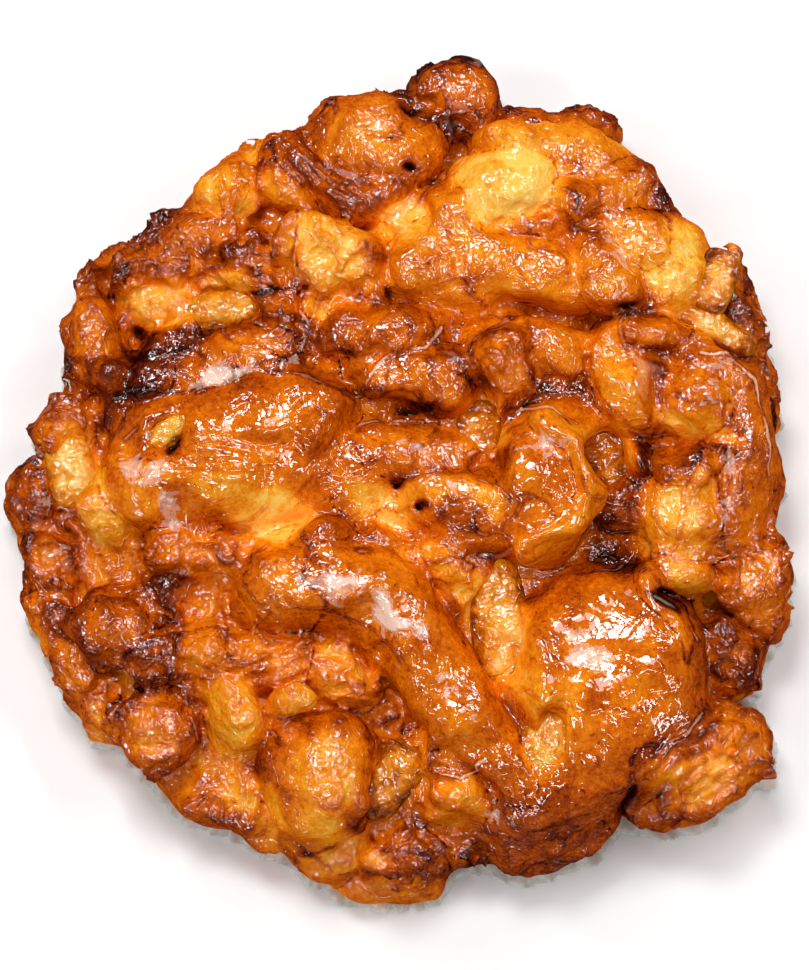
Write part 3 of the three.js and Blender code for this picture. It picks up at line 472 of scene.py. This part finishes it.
def plan_distance(points, x, y, length, width, turn):
    """Distance in plan from the middle of a turned ellipse, which counts as 1 on its edge."""
    along, across = turned(points, x, y, turn)
    return np.hypot(along / length, across / width)


def patch_share(points, place, fade):
    """How much of a patch each point has, from 0 outside its ellipse to 1."""
    end, slope = FADE[fade]
    return np.clip(slope * (end - plan_distance(points, *place)), 0, 1)


def body_distance(points):
    """Distance to the flattened body that carries the lobes."""
    half = BODY["half"]
    p, q = BODY["plan_power"], BODY["side_power"]
    along, across, level = (np.abs(points[:, n] - BODY["centre"][n]) / half[n] for n in range(3))
    radius = (along ** p + across ** p) ** (1 / p)
    size = (radius ** q + level ** q) ** (1 / q) + TINY
    slope = np.hypot((radius / size) ** (q - 1) / half[0], (level / size) ** (q - 1) / half[2])
    return (size - 1) / (slope + TINY)


def lobe_distance(points, centre, radii, turn, power):
    """Distance to a blunt ellipsoid whose length is turned in plan."""
    x, y, z = centre
    offsets = (*turned(points, x, y, turn), points[:, 2] - z)
    sides = [np.abs(offset) / radius + TINY for offset, radius in zip(offsets, radii)]
    size = sum(side ** power for side in sides) ** (1 / power)
    slope = np.sqrt(sum((side ** (power - 1) / radius) ** 2 for side, radius in zip(sides, radii)))
    return (size - 1) / (size ** (1 - power) * slope)


def roll_distance(points, path, start, end, depth):
    """Distance to a roll that follows a path."""
    nearest = np.full(len(points), np.inf)
    for n, (a, b) in enumerate(zip(path, path[1:])):
        t, aside = beside(points, a, b)
        width = FULLNESS * (start + (end - start) * (n + t) / (len(path) - 1))
        aside = aside / width
        up = (points[:, 2] - a[2] - (b[2] - a[2]) * t + depth) / depth
        size = np.hypot(aside, up) + TINY
        slope = np.hypot(aside / width, up / depth) / size + TINY
        nearest = np.minimum(nearest, (size - 1) / slope)
    return nearest


def tone_between(top, foot, share):
    """Tone between a lobe's crown and foot, whose tones are in percent."""
    return top / 100 + (foot / 100 - top / 100) * share


def lumps_near(moved):
    """For each lobe and roll the points near it, and their distance, tone, roughness and fillet."""
    for name, (x, y, crown, length, width, depth, turn, top, foot, rough) in LOBES.items():
        full = RIM_FULLNESS
        if math.hypot(x, y) <= RIM_RADIUS:
            full = FULLNESS
            x, y, crown = carried(x, y, crown)
        radii = (length * full, width * full, depth)
        reach = max(radii) + REACH
        near = np.flatnonzero((np.abs(moved[:, 0] - x) < reach) & (np.abs(moved[:, 1] - y) < reach))
        distance = lobe_distance(moved[near], (x, y, crown - depth), radii, turn, LOBE_POWER)
        below = np.clip(1.5 * (crown - moved[near, 2]) / depth, 0, 1)
        outward = np.clip((plan_distance(moved[near], x, y, *radii[:2], turn) - 0.5) / 0.5, 0, 1)
        fillet = MERGED.get(name, BLEND["large" if length >= LARGE else "small"])
        yield near, distance, tone_between(top, foot, np.maximum(below, outward)), rough, fillet
    for path, start, end, depth, top, foot, rough in ROLLS.values():
        path = [carried(*point) for point in path]
        below = np.clip((max(point[2] for point in path) - moved[:, 2]) / depth, 0, 1)
        distance = roll_distance(moved, path, start, end, depth)
        yield np.arange(len(moved)), distance, tone_between(top, foot, below), rough, BLEND["large"]


def openings():
    """The hollows, with painted shade round them, and the opening over each piece of fruit."""
    for x, y, *rest in HOLLOWS.values():
        x, y, _ = carried(x, y, SKIN)
        yield x, y, *rest, OPENING_POWER["hollow"], True, OPENING_FILLET["hollow"]
    for x, y, crown, length, width, _, turn, sunk, _ in FRUIT.values():
        bottom = crown - sunk - FRUIT_SHOWS
        x, y, _ = carried(x, y, crown)
        yield x, y, bottom, length, width, turn, OPENING_POWER["fruit"], False, OPENING_FILLET["fruit"]


def closeness(distance):
    """How much a lobe at this distance counts in the tone and roughness of a point."""
    return np.exp(-np.clip(distance, -DEEPEST, FAR) / TONE_BLEND)


def form(points):
    """Distance to the dough at each point, and its brownness (with painted shade round the hollows),
    roughness and closeness to a crease.
    """
    moved = crumpled(points)
    distance = body_distance(moved)
    first, second = distance.copy(), np.full(len(points), FAR)
    weight = closeness(distance)
    tone, rough = weight * BODY_TONE, weight.copy()
    for near, lump, lump_tone, lump_rough, fillet in lumps_near(moved):
        distance[near] = joined(distance[near], lump, fillet)
        share = closeness(lump)
        weight[near] += share
        tone[near] += share * lump_tone
        rough[near] += share * lump_rough
        second[near] = np.minimum(second[near], np.maximum(first[near], lump))
        first[near] = np.minimum(first[near], lump)
    tone /= weight
    rough /= weight
    crease = np.exp(-np.clip(second - first, 0, FAR) / CREASE)
    distance += CRAG["height"] * noise(points, CRAG["size"], 11)
    above_foot = np.clip(points[:, 2] / FOOT["height"], FOOT["relief"], 1)
    distance -= relief(points, rough) * above_foot + THREAD["height"] * strands(points)
    for x, y, length, width, turn, patch_tone, strength in PATCHES.values():
        x, y, _ = carried(x, y, SKIN)
        near = within(moved, x, y, 1.6 * length)
        share = strength / 100 * patch_share(moved[near], (x, y, length, width, turn), "patch")
        tone[near] += share * (patch_tone / 100 - tone[near])
    for x, y, bottom, length, width, turn, power, darkens, fillet in openings():
        near = within(moved, x, y, length + REACH)
        radii = (length, width, HOLLOW_REACH - bottom)
        hollow = lobe_distance(moved[near], (x, y, HOLLOW_REACH), radii, turn, power)
        distance[near] = -joined(-distance[near], hollow, fillet)
        # Painted shade: the dough round a hollow is darkened towards the shade's tone
        if darkens:
            tone[near] += np.exp(-np.clip(hollow, 0, FAR) / DEEP) * (HOLLOW_SHADE_TONE - tone[near])
    return distance, tone, rough, crease


def rounded(value):
    """Size of a value, with its sharp turn at zero rounded off."""
    return np.sqrt(value ** 2 + CREST)


def wrinkles(points, size, seed, height, sharpness, mean):
    """Height of wrinkles, which are narrow crests, in mm."""
    return height * ((1 - rounded(noise(points, size, seed))) ** sharpness - mean)


def relief(points, rough):
    """Height of the skin's lumps, wrinkles and ribs, in mm."""
    folded, finer = swirled(points, "lumps"), swirled(points, "wrinkles")
    lumps = LUMPS["height"] * (rounded(noise(folded, LUMPS["size"], LUMPS["seed"])) - LUMPS["mean"])
    wrinkled = wrinkles(finer, **WRINKLES) + wrinkles(finer, **FINE_WRINKLES)
    lively = np.clip(0.5 + 0.9 * noise(points, CALM["size"], CALM["seed"]), 0, 1)
    calm = CALM["least"] + CALM["range"] * lively
    lumpy, creased = (np.minimum(rough ** power, MOST_ROUGH) for power in (LUMPS_ROUGHER, WRINKLES_ROUGHER))
    return lumps * lumpy + wrinkled * calm * creased + ribs(points)


def ribs(points):
    """Height of the fine ribs that some lobes are drawn into, in mm."""
    height = np.zeros(len(points))
    bent = swirled(points, "ribs")
    for x, y, length, width, turn, spacing, rise in RIBS.values():
        near = within(points, x, y, 1.2 * length)
        share = patch_share(points[near], (x, y, length, width, turn), "ribs")
        _, across = turned(bent[near], x, y, turn)
        height[near] += rise * share * np.cos(2 * math.pi * across / spacing)
    return height


def strands(points):
    """Where thin strands of glaze run over the skin, from 0 to 1."""
    drawn = swirled(points, "strays")
    patchy = np.clip(1.6 * noise(points, STRAY["patches"], 83) + 0.4, 0, 1)
    stray = STRAY["strength"] * patchy * np.exp(-(noise(drawn, STRAY["apart"], 82) / STRAY["width"]) ** 2)
    broken = np.clip(0.75 + 0.9 * noise(points, THREAD["breaks"], 84), 0.1, 1)
    return np.maximum(stray, broken * thread_closeness(swirled(points, "threads")))


def thread_closeness(points):
    """How close each point is in plan to a thread of glaze: 1 on it, 0 well away from it."""
    close = np.zeros(len(points))
    for strength, *path in THREADS.values():
        path = np.array(path, float)
        low, high = path.min(axis=0) - 2, path.max(axis=0) + 2
        near = np.flatnonzero(np.all((points[:, :2] > low) & (points[:, :2] < high), axis=1))
        gap = np.full(len(near), FAR)
        for a, b in zip(path, path[1:]):
            gap = np.minimum(gap, beside(points[near], a, b)[1])
        close[near] = np.maximum(close[near], strength * np.exp(-(gap / THREAD["width"]) ** 2))
    return close


def grid_points(low, step, count):
    axes = [low[n] + step * np.arange(count[n]) for n in range(3)]
    return np.stack(np.meshgrid(*axes, indexing="ij"), axis=-1).reshape(-1, 3)


def sampled_field():
    """The dough's field on a fine grid, worked out only near the surface."""
    margin, ratio = 13, 5
    x, y, _ = BODY["half"]
    low, high = np.array([-x - margin, -y - margin, -6]), np.array([x + margin, y + margin, 40])
    coarse_step = CELL * ratio
    coarse_count = np.ceil((high - low) / coarse_step).astype(int) + 1
    field = form(grid_points(low, coarse_step, coarse_count))[0].reshape(coarse_count)
    for axis in range(3):
        field = np.repeat(field, ratio, axis=axis)
    low = low - coarse_step * (ratio - 1) / (2 * ratio)
    band = 1.3 * coarse_step + 1.2
    near = np.flatnonzero(np.abs(field.ravel()) < band)
    ijk = np.stack(np.unravel_index(near, field.shape), axis=1)
    flat = field.reshape(-1).astype(np.float32)
    flat[near] = form(low + ijk * CELL)[0]
    return low, flat.reshape(field.shape)


CORNERS = [(n & 1, (n >> 1) & 1, (n >> 2) & 1) for n in range(8)]


def surface(low, field):
    """Closed surface of a field: a point in each cell it crosses, a face round each edge it crosses."""
    inside = field < 0
    count = np.array(field.shape)
    total = np.zeros(count - 1, np.int8)
    for a, b, c in CORNERS:
        total += inside[a:count[0] - 1 + a, b:count[1] - 1 + b, c:count[2] - 1 + c]
    cells = np.argwhere((total > 0) & (total < 8))
    value = [field[tuple((cells + corner).T)] for corner in CORNERS]
    place, crossings = np.zeros((len(cells), 3)), np.zeros(len(cells))
    for n, corner in enumerate(CORNERS):
        for axis in range(3):
            m = n | (1 << axis)
            if m == n:
                continue
            crossed = (value[n] < 0) != (value[m] < 0)
            gap = np.where(crossed, value[n] - value[m], 1)
            place += crossed[:, None] * np.array(corner)
            place[:, axis] += np.where(crossed, value[n] / gap, 0)
            crossings += crossed
    points = low + CELL * (cells + place / crossings[:, None])
    number = np.full(count - 1, -1, np.int32)
    number[tuple(cells.T)] = np.arange(len(cells))
    faces = []
    for axis in range(3):
        step, side, other = (np.eye(3, dtype=int)[(axis + turn) % 3] for turn in range(3))
        edges = np.argwhere(inside != np.roll(inside, -1, axis=axis))
        edges = edges[np.all((edges > 0) & (edges < count - 1 - step), axis=1)]
        ring = [number[tuple((edges - s * side - t * other).T)] for s, t in ((0, 0), (1, 0), (1, 1), (0, 1))]
        quads = np.stack(ring, axis=1)
        backward = ~inside[tuple(edges.T)]
        quads[backward] = quads[backward][:, ::-1]
        faces.append(quads)
    return points, np.concatenate(faces)


def largest_body(points, faces):
    """Keeps the one connected surface with the most points."""
    label = np.arange(len(points))
    edges = np.concatenate([faces[:, [n, (n + 1) % 4]] for n in range(4)])
    while True:
        least = np.minimum(label[edges[:, 0]], label[edges[:, 1]])
        new = label.copy()
        np.minimum.at(new, edges[:, 0], least)
        np.minimum.at(new, edges[:, 1], least)
        new = new[new]
        if np.array_equal(new, label):
            break
        label = new
    kept = label == np.bincount(label).argmax()
    number = np.cumsum(kept) - 1
    return points[kept], number[faces[kept[faces[:, 0]]]]


def mesh_object(name, points, faces):
    """A Blender object from points in mm in the lobes' frame."""
    mesh = bpy.data.meshes.new(name)
    mesh.vertices.add(len(points))
    mesh.vertices.foreach_set("co", ((points + PLACE) * MM).astype(np.float32).ravel())
    corners = faces.shape[1]
    mesh.loops.add(faces.size)
    mesh.loops.foreach_set("vertex_index", faces.astype(np.int32).ravel())
    mesh.polygons.add(len(faces))
    mesh.polygons.foreach_set("loop_start", np.arange(0, faces.size, corners, dtype=np.int32))
    mesh.update(calc_edges=True)
    mesh.validate()
    mesh.shade_smooth()
    piece = bpy.data.objects.new(name, mesh)
    bpy.context.scene.collection.objects.link(piece)
    return piece


def thinned(piece):
    """Collapses short edges until the piece has no more than the most triangles."""
    triangles = sum(len(polygon.vertices) - 2 for polygon in piece.data.polygons)
    if triangles <= MOST_TRIANGLES:
        return
    modifier = piece.modifiers.new("thin", "DECIMATE")
    modifier.ratio = MOST_TRIANGLES / triangles
    evaluated = piece.evaluated_get(bpy.context.evaluated_depsgraph_get())
    mesh = bpy.data.meshes.new_from_object(evaluated)
    piece.modifiers.clear()
    old = piece.data
    piece.data = mesh
    bpy.data.meshes.remove(old)
    mesh.name = piece.name
    mesh.shade_smooth()


def points_in(mesh):
    """The mesh's points in its own units."""
    flat = np.empty(3 * len(mesh.vertices), np.float32)
    mesh.vertices.foreach_get("co", flat)
    return flat.reshape(-1, 3).astype(float)


def points_of(piece):
    """The piece's points in mm in the lobes' frame."""
    return points_in(piece.data) / MM - PLACE


def set_value(piece, name, values):
    attribute = piece.data.attributes.new(name, "FLOAT", "POINT")
    attribute.data.foreach_set("value", np.asarray(values, np.float32))


def make_dough():
    low, field = sampled_field()
    floor = (low[2] + CELL * np.arange(field.shape[2]))[None, None, :]
    field = np.maximum(field, -floor)
    points, faces = largest_body(*surface(low, field))
    points[:, 2] = np.maximum(points[:, 2], 0)
    piece = mesh_object("dough_crust", points, faces)
    thinned(piece)
    return piece


def paint(piece):
    """Writes how brown, creased, rough, raised and glazed the skin is at each point; the brownness holds
    painted shade round hollows and the glaze painted highlights.
    """
    points = points_of(piece)
    _, tone, rough, crease = form(points)
    glaze = np.zeros(len(points))
    bent = swirled(points, "glaze")
    for *place, strength in GLAZE.values():
        glaze = np.maximum(glaze, strength * patch_share(bent, place, "glaze"))
    values = {"tone": tone, "crease": crease, "rough": rough, "lift": relief(points, rough),
              "strand": strands(points), "glaze": glaze}
    for name, value in values.items():
        set_value(piece, name, value)


def make_fruit(name):
    """A blunt piece of fruit, finely wrinkled."""
    x, y, crown, length, width, height, turn, sunk, amber = FRUIT[name]
    bpy.ops.mesh.primitive_ico_sphere_add(subdivisions=5, radius=1)
    sphere = bpy.context.active_object
    unit = points_in(sphere.data)
    faces = np.array([polygon.vertices[:] for polygon in sphere.data.polygons])
    bpy.data.objects.remove(sphere)
    power = FLAT.get(name, FRUIT_POWER)
    blunt = (np.abs(unit) ** power).sum(axis=1) ** (-1 / power)
    points = unit * blunt[:, None] * (length * FRUIT_SPREAD, width * FRUIT_SPREAD, height)
    along, across = turned(points, 0, 0, -turn)
    points = np.stack([along + x, across + y, points[:, 2] + crown - sunk - height], axis=1)
    bent = swirled(points, "fruit")
    bump = FRUIT_LUMPS["height"] * noise(bent, FRUIT_LUMPS["size"], FRUIT_LUMPS["seed"])
    for size, seed, rise in FRUIT_WRINKLES:
        bump += rise * (0.4 - np.abs(noise(bent, size, seed)))
    points += unit * bump[:, None]
    piece = mesh_object(name + "_flesh", points, faces)
    edge = np.clip((plan_distance(points, x, y, length, width, turn) - 0.65) / 0.5, 0, 1)
    set_value(piece, "depth", amber + 0.3 * edge - 0.16 * bump)
    return piece


def rim_radius(piece, middle, bins):
    """How far the piece reaches from its middle in each direction in plan."""
    offset = points_of(piece)[:, :2] - middle
    angle = np.arctan2(offset[:, 1], offset[:, 0])
    slot = ((angle / (2 * math.pi)) % 1 * bins).astype(int) % bins
    reach = np.zeros(bins)
    np.maximum.at(reach, slot, np.hypot(offset[:, 0], offset[:, 1]))
    spread = np.max([np.roll(reach, step) for step in (-1, 0, 1)], axis=0)
    return np.mean([np.roll(spread, step) for step in (-2, -1, 0, 1, 2)], axis=0)


def make_skirt(dough):
    """The thin ruffled skirt of set glaze round the foot, widest at the lower right."""
    count = SKIRT["points"]
    middle = np.array(BODY["centre"][:2])
    reach = np.repeat(rim_radius(dough, middle, count // 2), 2)
    angle = 2 * math.pi * (np.arange(count) + 0.5) / count
    outward = np.stack([np.cos(angle), np.sin(angle)], axis=1)
    around = np.column_stack([64 * outward, np.zeros(count)])
    ruffle = noise(around, 1.4, 91) + 0.7 * noise(around, 0.75, 92)
    facing = 0.5 + 0.5 * np.cos(angle - math.radians(SKIRT["widest_at"]))
    width = SKIRT["narrowest"] + SKIRT["widening"] * facing + SKIRT["uneven"] * noise(around, 10.0, 93)
    rings = []
    for inset, share, height in SKIRT_RINGS:
        radius = reach - inset + share * width + SKIRT["ruffle"] * ruffle * share
        for lower in (0, SKIRT["thickness"]):
            level = np.maximum(height + ruffle * share - lower, 0.02)
            rings.append(np.column_stack([middle + radius[:, None] * outward, level]))
    rings = rings[0::2] + rings[::-2]
    number = np.arange(len(rings) * count).reshape(-1, count)
    after = np.roll(number, -1, axis=0)
    faces = np.stack([number, after, np.roll(after, -1, axis=1), np.roll(number, -1, axis=1)], axis=-1)
    return mesh_object("glaze_skirt", np.concatenate(rings), faces.reshape(-1, 4))


def linear(colour):
    """Linear values, with alpha, of red, green and blue from 0 to 255."""
    return (*(((value / 255 + 0.055) / 1.055) ** 2.4 for value in colour), 1)


class Nodes:
    """A new material, with short forms for the nodes that it is built from."""

    def __init__(self, name):
        self.material = bpy.data.materials.new(name)
        self.material.use_nodes = True
        self.tree = self.material.node_tree
        self.shader = self.tree.nodes["Principled BSDF"]

    def put(self, node, inputs):
        """Sets a node's inputs, or links them to other nodes' outputs."""
        for name, value in inputs.items():
            if isinstance(value, bpy.types.NodeSocket):
                self.tree.links.new(value, node.inputs[name])
            else:
                node.inputs[name].default_value = value

    def add(self, kind, inputs, output, **settings):
        """Adds a node, and gives back one of its outputs."""
        made = self.tree.nodes.new(kind)
        for name, value in settings.items():
            setattr(made, name, value)
        self.put(made, inputs)
        return made.outputs[output]

    def value(self, name):
        """What the mesh holds at each point under this name."""
        return self.add("ShaderNodeAttribute", {}, "Fac", attribute_name=name)

    def sum(self, first, *rest):
        for part in rest:
            first = self.add("ShaderNodeMath", {0: first, 1: part}, "Value", operation="ADD")
        return first

    def product(self, a, b):
        return self.add("ShaderNodeMath", {0: a, 1: b}, "Value", operation="MULTIPLY")

    def mapped(self, value, old, new):
        """A value moved from one range to another, and kept inside it."""
        ends = {"From Min": old[0], "From Max": old[1], "To Min": new[0], "To Max": new[1]}
        return self.add("ShaderNodeMapRange", {"Value": value, **ends}, "Result")

    def speckle(self, scale, detail, roughness=0.6, distortion=0.0):
        """Noise at the object's own place, its scale per metre."""
        place = self.add("ShaderNodeTexCoord", {}, "Object")
        return self.add("ShaderNodeTexNoise", {"Vector": place, "Scale": scale, "Detail": detail,
                                               "Roughness": roughness, "Distortion": distortion}, "Fac")

    def lines(self, *texture):
        """How far noise is from its middle, which is near zero along thin winding lines."""
        off_middle = self.add("ShaderNodeMath", {0: self.speckle(*texture), 1: 0.5}, "Value",
                              operation="SUBTRACT")
        return self.add("ShaderNodeMath", {0: off_middle}, "Value", operation="ABSOLUTE")

    def ramp(self, value, stops):
        """The colour that a value has in a row of colours."""
        made = self.tree.nodes.new("ShaderNodeValToRGB")
        elements = made.color_ramp.elements
        while len(elements) < len(stops):
            elements.new(0.5)
        for element, (position, colour) in zip(elements, stops):
            element.position = position
            element.color = linear(colour)
        self.put(made, {"Fac": value})
        return made.outputs["Color"]

    def bump(self, height, strength, distance):
        return self.add("ShaderNodeBump", {"Height": height, "Strength": strength, "Distance": distance},
                        "Normal")

    def wet_coat(self, normal, fading, roughness, ior):
        """Wet gloss that fades where the rippled surface slants away."""
        slant = self.add("ShaderNodeLayerWeight", {"Blend": 0.5, "Normal": normal}, "Facing")
        self.put(self.shader, {"Coat Weight": self.mapped(slant, fading, (1.0, 0.02)), "Coat Normal": normal,
                               "Coat Roughness": roughness, "Coat IOR": ior})


CRUST_COLOURS = (
    (0, (255, 206, 94)), (0.15, (255, 176, 50)), (0.3, (241, 141, 18)), (0.45, (222, 110, 6)),
    (0.6, (183, 76, 0)), (0.75, (127, 43, 0)), (0.88, (80, 20, 0)), (1, (40, 6, 0)),
)
# Noise that changes the crust's tone: scale per metre, detail, roughness, distortion, old and new range
CRUST_NOISE = dict(
    dust=(2600, 2, 0.6, 0, (0.3, 0.7), (-0.06, 0.06)),
    blotches=(170, 6, 0.65, 0.6, (0.3, 0.7), (-0.13, 0.13)),
    specks=(1100, 3, 0.7, 0, (0.3, 0.7), (-0.09, 0.09)),
    spots=(620, 2, 0.5, 0.4, (0.67, 0.71), (0, 0.16)),
)
# Winding lines: darker streaks, and paler lines of painted sheen
CRUST_LINES = dict(
    streaks=(180, 2, 0.5, 0.4, (0, 0.05), (0.04, 0)),
    painted_sheen=(240, 2, 0.5, 0.5, (0, 0.04), (-0.05, 0)),
)
# What the mesh holds and changes the tone too. A strand is pale glaze, partly a painted highlight, with an
# outline of painted shade beside it.
CRUST_VALUES = (
    ("lift", (-0.6, 0.6), (-0.09, 0.13)),
    ("crease", (0.35, 1), (0, -0.03)),
    ("strand", (0.3, 0.7), (0, -0.3)),
    ("strand", (0.04, 0.2), (0, 0.16)),
)
FILM_AND_HIGHLIGHT_COLOUR = (255, 232, 216)


def crust_tone(made):
    """How brown the crust is, from 0 to 1, with painted shade along its seams, lines of painted sheen and
    painted shade beside the strands.
    """
    tone = made.value("tone")
    for *texture, old, new in CRUST_NOISE.values():
        tone = made.sum(tone, made.mapped(made.speckle(*texture), old, new))
    for *texture, old, new in CRUST_LINES.values():
        tone = made.sum(tone, made.mapped(made.lines(*texture), old, new))
    for name, old, new in CRUST_VALUES:
        tone = made.sum(tone, made.mapped(made.value(name), old, new))
    # Painted shade: dark seams, in patches, along the deepest creases between lobes
    in_parts = made.mapped(made.speckle(80, 2, 0.5), (0.44, 0.54), (0, 0.4))
    crease_shade = made.mapped(made.value("crease"), (0.66, 0.95), (0, 1))
    return made.sum(tone, made.product(in_parts, crease_shade))


def crust_material():
    """Fried dough under a wet coat, with ragged patches and strands of pale sugar film that are partly
    painted highlights.
    """
    made = Nodes("glazed_crust")
    rough, strand = made.value("rough"), made.value("strand")
    ragged = made.mapped(made.speckle(210, 6, 0.6, 0.5), (0.3, 0.7), (-0.5, 0.5))
    spread = made.sum(made.value("glaze"), ragged)
    # Thin film and thick film of pale glaze, whose white cores are painted highlights
    thin, thick = made.mapped(spread, (0.56, 0.6), (0, 0.26)), made.mapped(spread, (0.74, 0.84), (0, 0.46))
    covered = made.sum(thin, thick)
    film_and_highlight = made.add("ShaderNodeMath", {0: covered, 1: made.mapped(strand, (0.3, 0.9), (0, 0.5))}, "Value",
                     operation="MAXIMUM")
    colour = made.add("ShaderNodeMix", {"Factor": film_and_highlight, "A": made.ramp(crust_tone(made), CRUST_COLOURS),
                                        "B": linear(FILM_AND_HIGHLIGHT_COLOUR)}, "Result", data_type="RGBA")
    swells = made.product(made.speckle(230, 2, 0.45, 0.6), made.mapped(rough, (0.5, 1.4), (0.4, 1.2)))
    ripples = made.product(made.speckle(560, 2, 0.5, 0.8), 0.6)
    wires = made.mapped(made.lines(320, 1, 0.5, 0.5), (0, 0.08), (0.3, 0))
    small = made.product(made.sum(ripples, wires), made.mapped(rough, (0.5, 1.3), (0.08, 1.3)))
    height = made.sum(swells, made.sum(small, made.product(covered, 0.2)))
    grain = made.sum(made.speckle(1300, 4, 0.6), made.product(height, 3))
    made.put(made.shader, {
        "Base Color": colour, "Roughness": 0.4, "Specular IOR Level": 0.0, "Subsurface Weight": 0.06,
        "Subsurface Radius": (1.0, 0.4, 0.12), "Subsurface Scale": 0.0015,
        "Normal": made.bump(grain, 0.6, 0.00025)})
    made.wet_coat(made.bump(height, 1.0, 0.0008), (0.2, 0.36), 0.02, 1.82)
    return made.material


FRUIT_COLOURS = (
    (0, (255, 232, 168)), (0.2, (255, 204, 106)), (0.4, (248, 172, 60)),
    (0.6, (228, 136, 14)), (0.8, (180, 88, 2)), (1, (112, 46, 0)),
)
FRUIT_DEPTH = 0.28               # how deep the fruit's amber is where nothing changes it


def fruit_material():
    """Soft, wet, slightly clear fruit, deeper in colour towards its edges."""
    made = Nodes("wet_fruit")
    clouds = made.mapped(made.speckle(240, 6, 0.62, 0.4), (0.3, 0.7), (0.2, -0.2))
    veins = made.mapped(made.lines(420, 3, 0.55, 0.4), (0, 0.06), (0.1, 0))
    grains = made.mapped(made.speckle(900, 3, 0.6), (0.3, 0.7), (-0.1, 0.1))
    depth = made.sum(made.value("depth"), clouds, veins, grains, FRUIT_DEPTH)
    waves, ripples = made.speckle(260, 1, 0.5, 0.6), made.speckle(700, 1, 0.5, 0.6)
    folds = made.mapped(made.lines(330, 1, 0.5, 0.5), (0, 0.08), (0.3, 0))
    normal = made.bump(made.sum(waves, made.product(ripples, 0.45), folds), 1.0, 0.0008)
    made.put(made.shader, {
        "Base Color": made.ramp(depth, FRUIT_COLOURS), "Roughness": 0.35, "Specular IOR Level": 0.0,
        "Subsurface Weight": 0.5, "Subsurface Radius": (1.0, 0.5, 0.12), "Subsurface Scale": 0.0026,
        "Normal": normal})
    made.wet_coat(normal, (0.2, 0.38), 0.015, 1.9)
    return made.material


def glaze_material():
    """Set sugar glaze, slightly clear, its grey partly painted shade."""
    made = Nodes("set_glaze")
    # Painted shade: the grey end of the ramp keeps the skirt darker than the floor, as under the fritter's
    # shadow
    colour = made.ramp(made.speckle(420, 3), [(0.35, (218, 216, 204)), (0.6, (250, 248, 242))])
    made.put(made.shader, {"Base Color": colour, "Roughness": 0.25, "Alpha": 0.85})
    return made.material


def make_floor():
    bpy.ops.mesh.primitive_plane_add(size=4)
    floor = bpy.context.active_object
    floor.name = "floor"
    made = Nodes("pale_floor")
    made.put(made.shader, {"Base Color": (0.99, 0.99, 0.99, 1), "Roughness": 0.9})
    floor.data.materials.append(made.material)


# Soft boxes round the fritter: azimuth from -Y towards +X, elevation, distance, size, radiance
LIGHTS = dict(
    window=(-160, 66, 1, (0.28, 0.21), 21),
    panel=(176, 76, 1.1, (0.46, 0.3), 4.4),
    strip_left=(-80, 54, 1, (0.5, 0.06), 19),
    strip_right=(112, 56, 1, (0.5, 0.06), 16),
    strip_near=(10, 62, 1, (0.5, 0.05), 14),
    low_left=(-135, 38, 1, (0.4, 0.06), 19),
    low_right=(140, 40, 1, (0.4, 0.06), 18),
    low_front_left=(-35, 26, 1, (0.45, 0.06), 13),
    low_front_right=(70, 26, 1, (0.45, 0.06), 12),
)
WORLD_STRENGTH = 0.04
CAMERA = dict(elevation=84, distance=1.15, lens=100, half_view=0.0812)
AIM = (0.0005, -0.001, 0.016)


def placed(name, data, azimuth, elevation, distance, aim=(0, 0, 0)):
    """A lamp or camera that looks at a place in metres from a direction and a distance."""
    item = bpy.data.objects.new(name, data)
    bpy.context.scene.collection.objects.link(item)
    a, e = math.radians(azimuth), math.radians(elevation)
    away = Vector((math.sin(a) * math.cos(e), -math.cos(a) * math.cos(e), math.sin(e)))
    item.location = Vector(aim) + away * distance
    item.rotation_euler = away.to_track_quat("Z", "Y").to_euler()
    return item


def make_camera():
    data = bpy.data.cameras.new("camera")
    data.lens = CAMERA["lens"]
    data.sensor_fit = "VERTICAL"
    half_angle = math.asin(CAMERA["half_view"] / CAMERA["distance"])
    data.sensor_height = 2 * CAMERA["lens"] * math.tan(half_angle)
    bpy.context.scene.camera = placed("camera", data, 0, CAMERA["elevation"], CAMERA["distance"], AIM)


def make_light():
    world = bpy.data.worlds.new("studio")
    bpy.context.scene.world = world
    world.use_nodes = True
    background = world.node_tree.nodes["Background"]
    background.inputs["Color"].default_value = (1, 1, 1, 1)
    background.inputs["Strength"].default_value = WORLD_STRENGTH
    for name, (azimuth, elevation, distance, size, radiance) in LIGHTS.items():
        data = bpy.data.lights.new(name, "AREA")
        data.shape = "RECTANGLE"
        data.size, data.size_y = size
        data.energy = radiance * math.pi * size[0] * size[1]
        placed(name, data, azimuth, elevation, distance)


def main():
    bpy.context.scene.view_settings.view_transform = "Standard"
    make_camera()
    make_light()
    make_floor()
    dough = make_dough()
    paint(dough)
    dough.data.materials.append(crust_material())
    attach(dough, "root")
    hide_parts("dough")
    skirt = make_skirt(dough)
    skirt.data.materials.append(glaze_material())
    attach(skirt, "root")
    flesh = fruit_material()
    for name in FRUIT:
        piece = make_fruit(name)
        piece.data.materials.append(flesh)
        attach(piece, "root")
        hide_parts(name)


main()
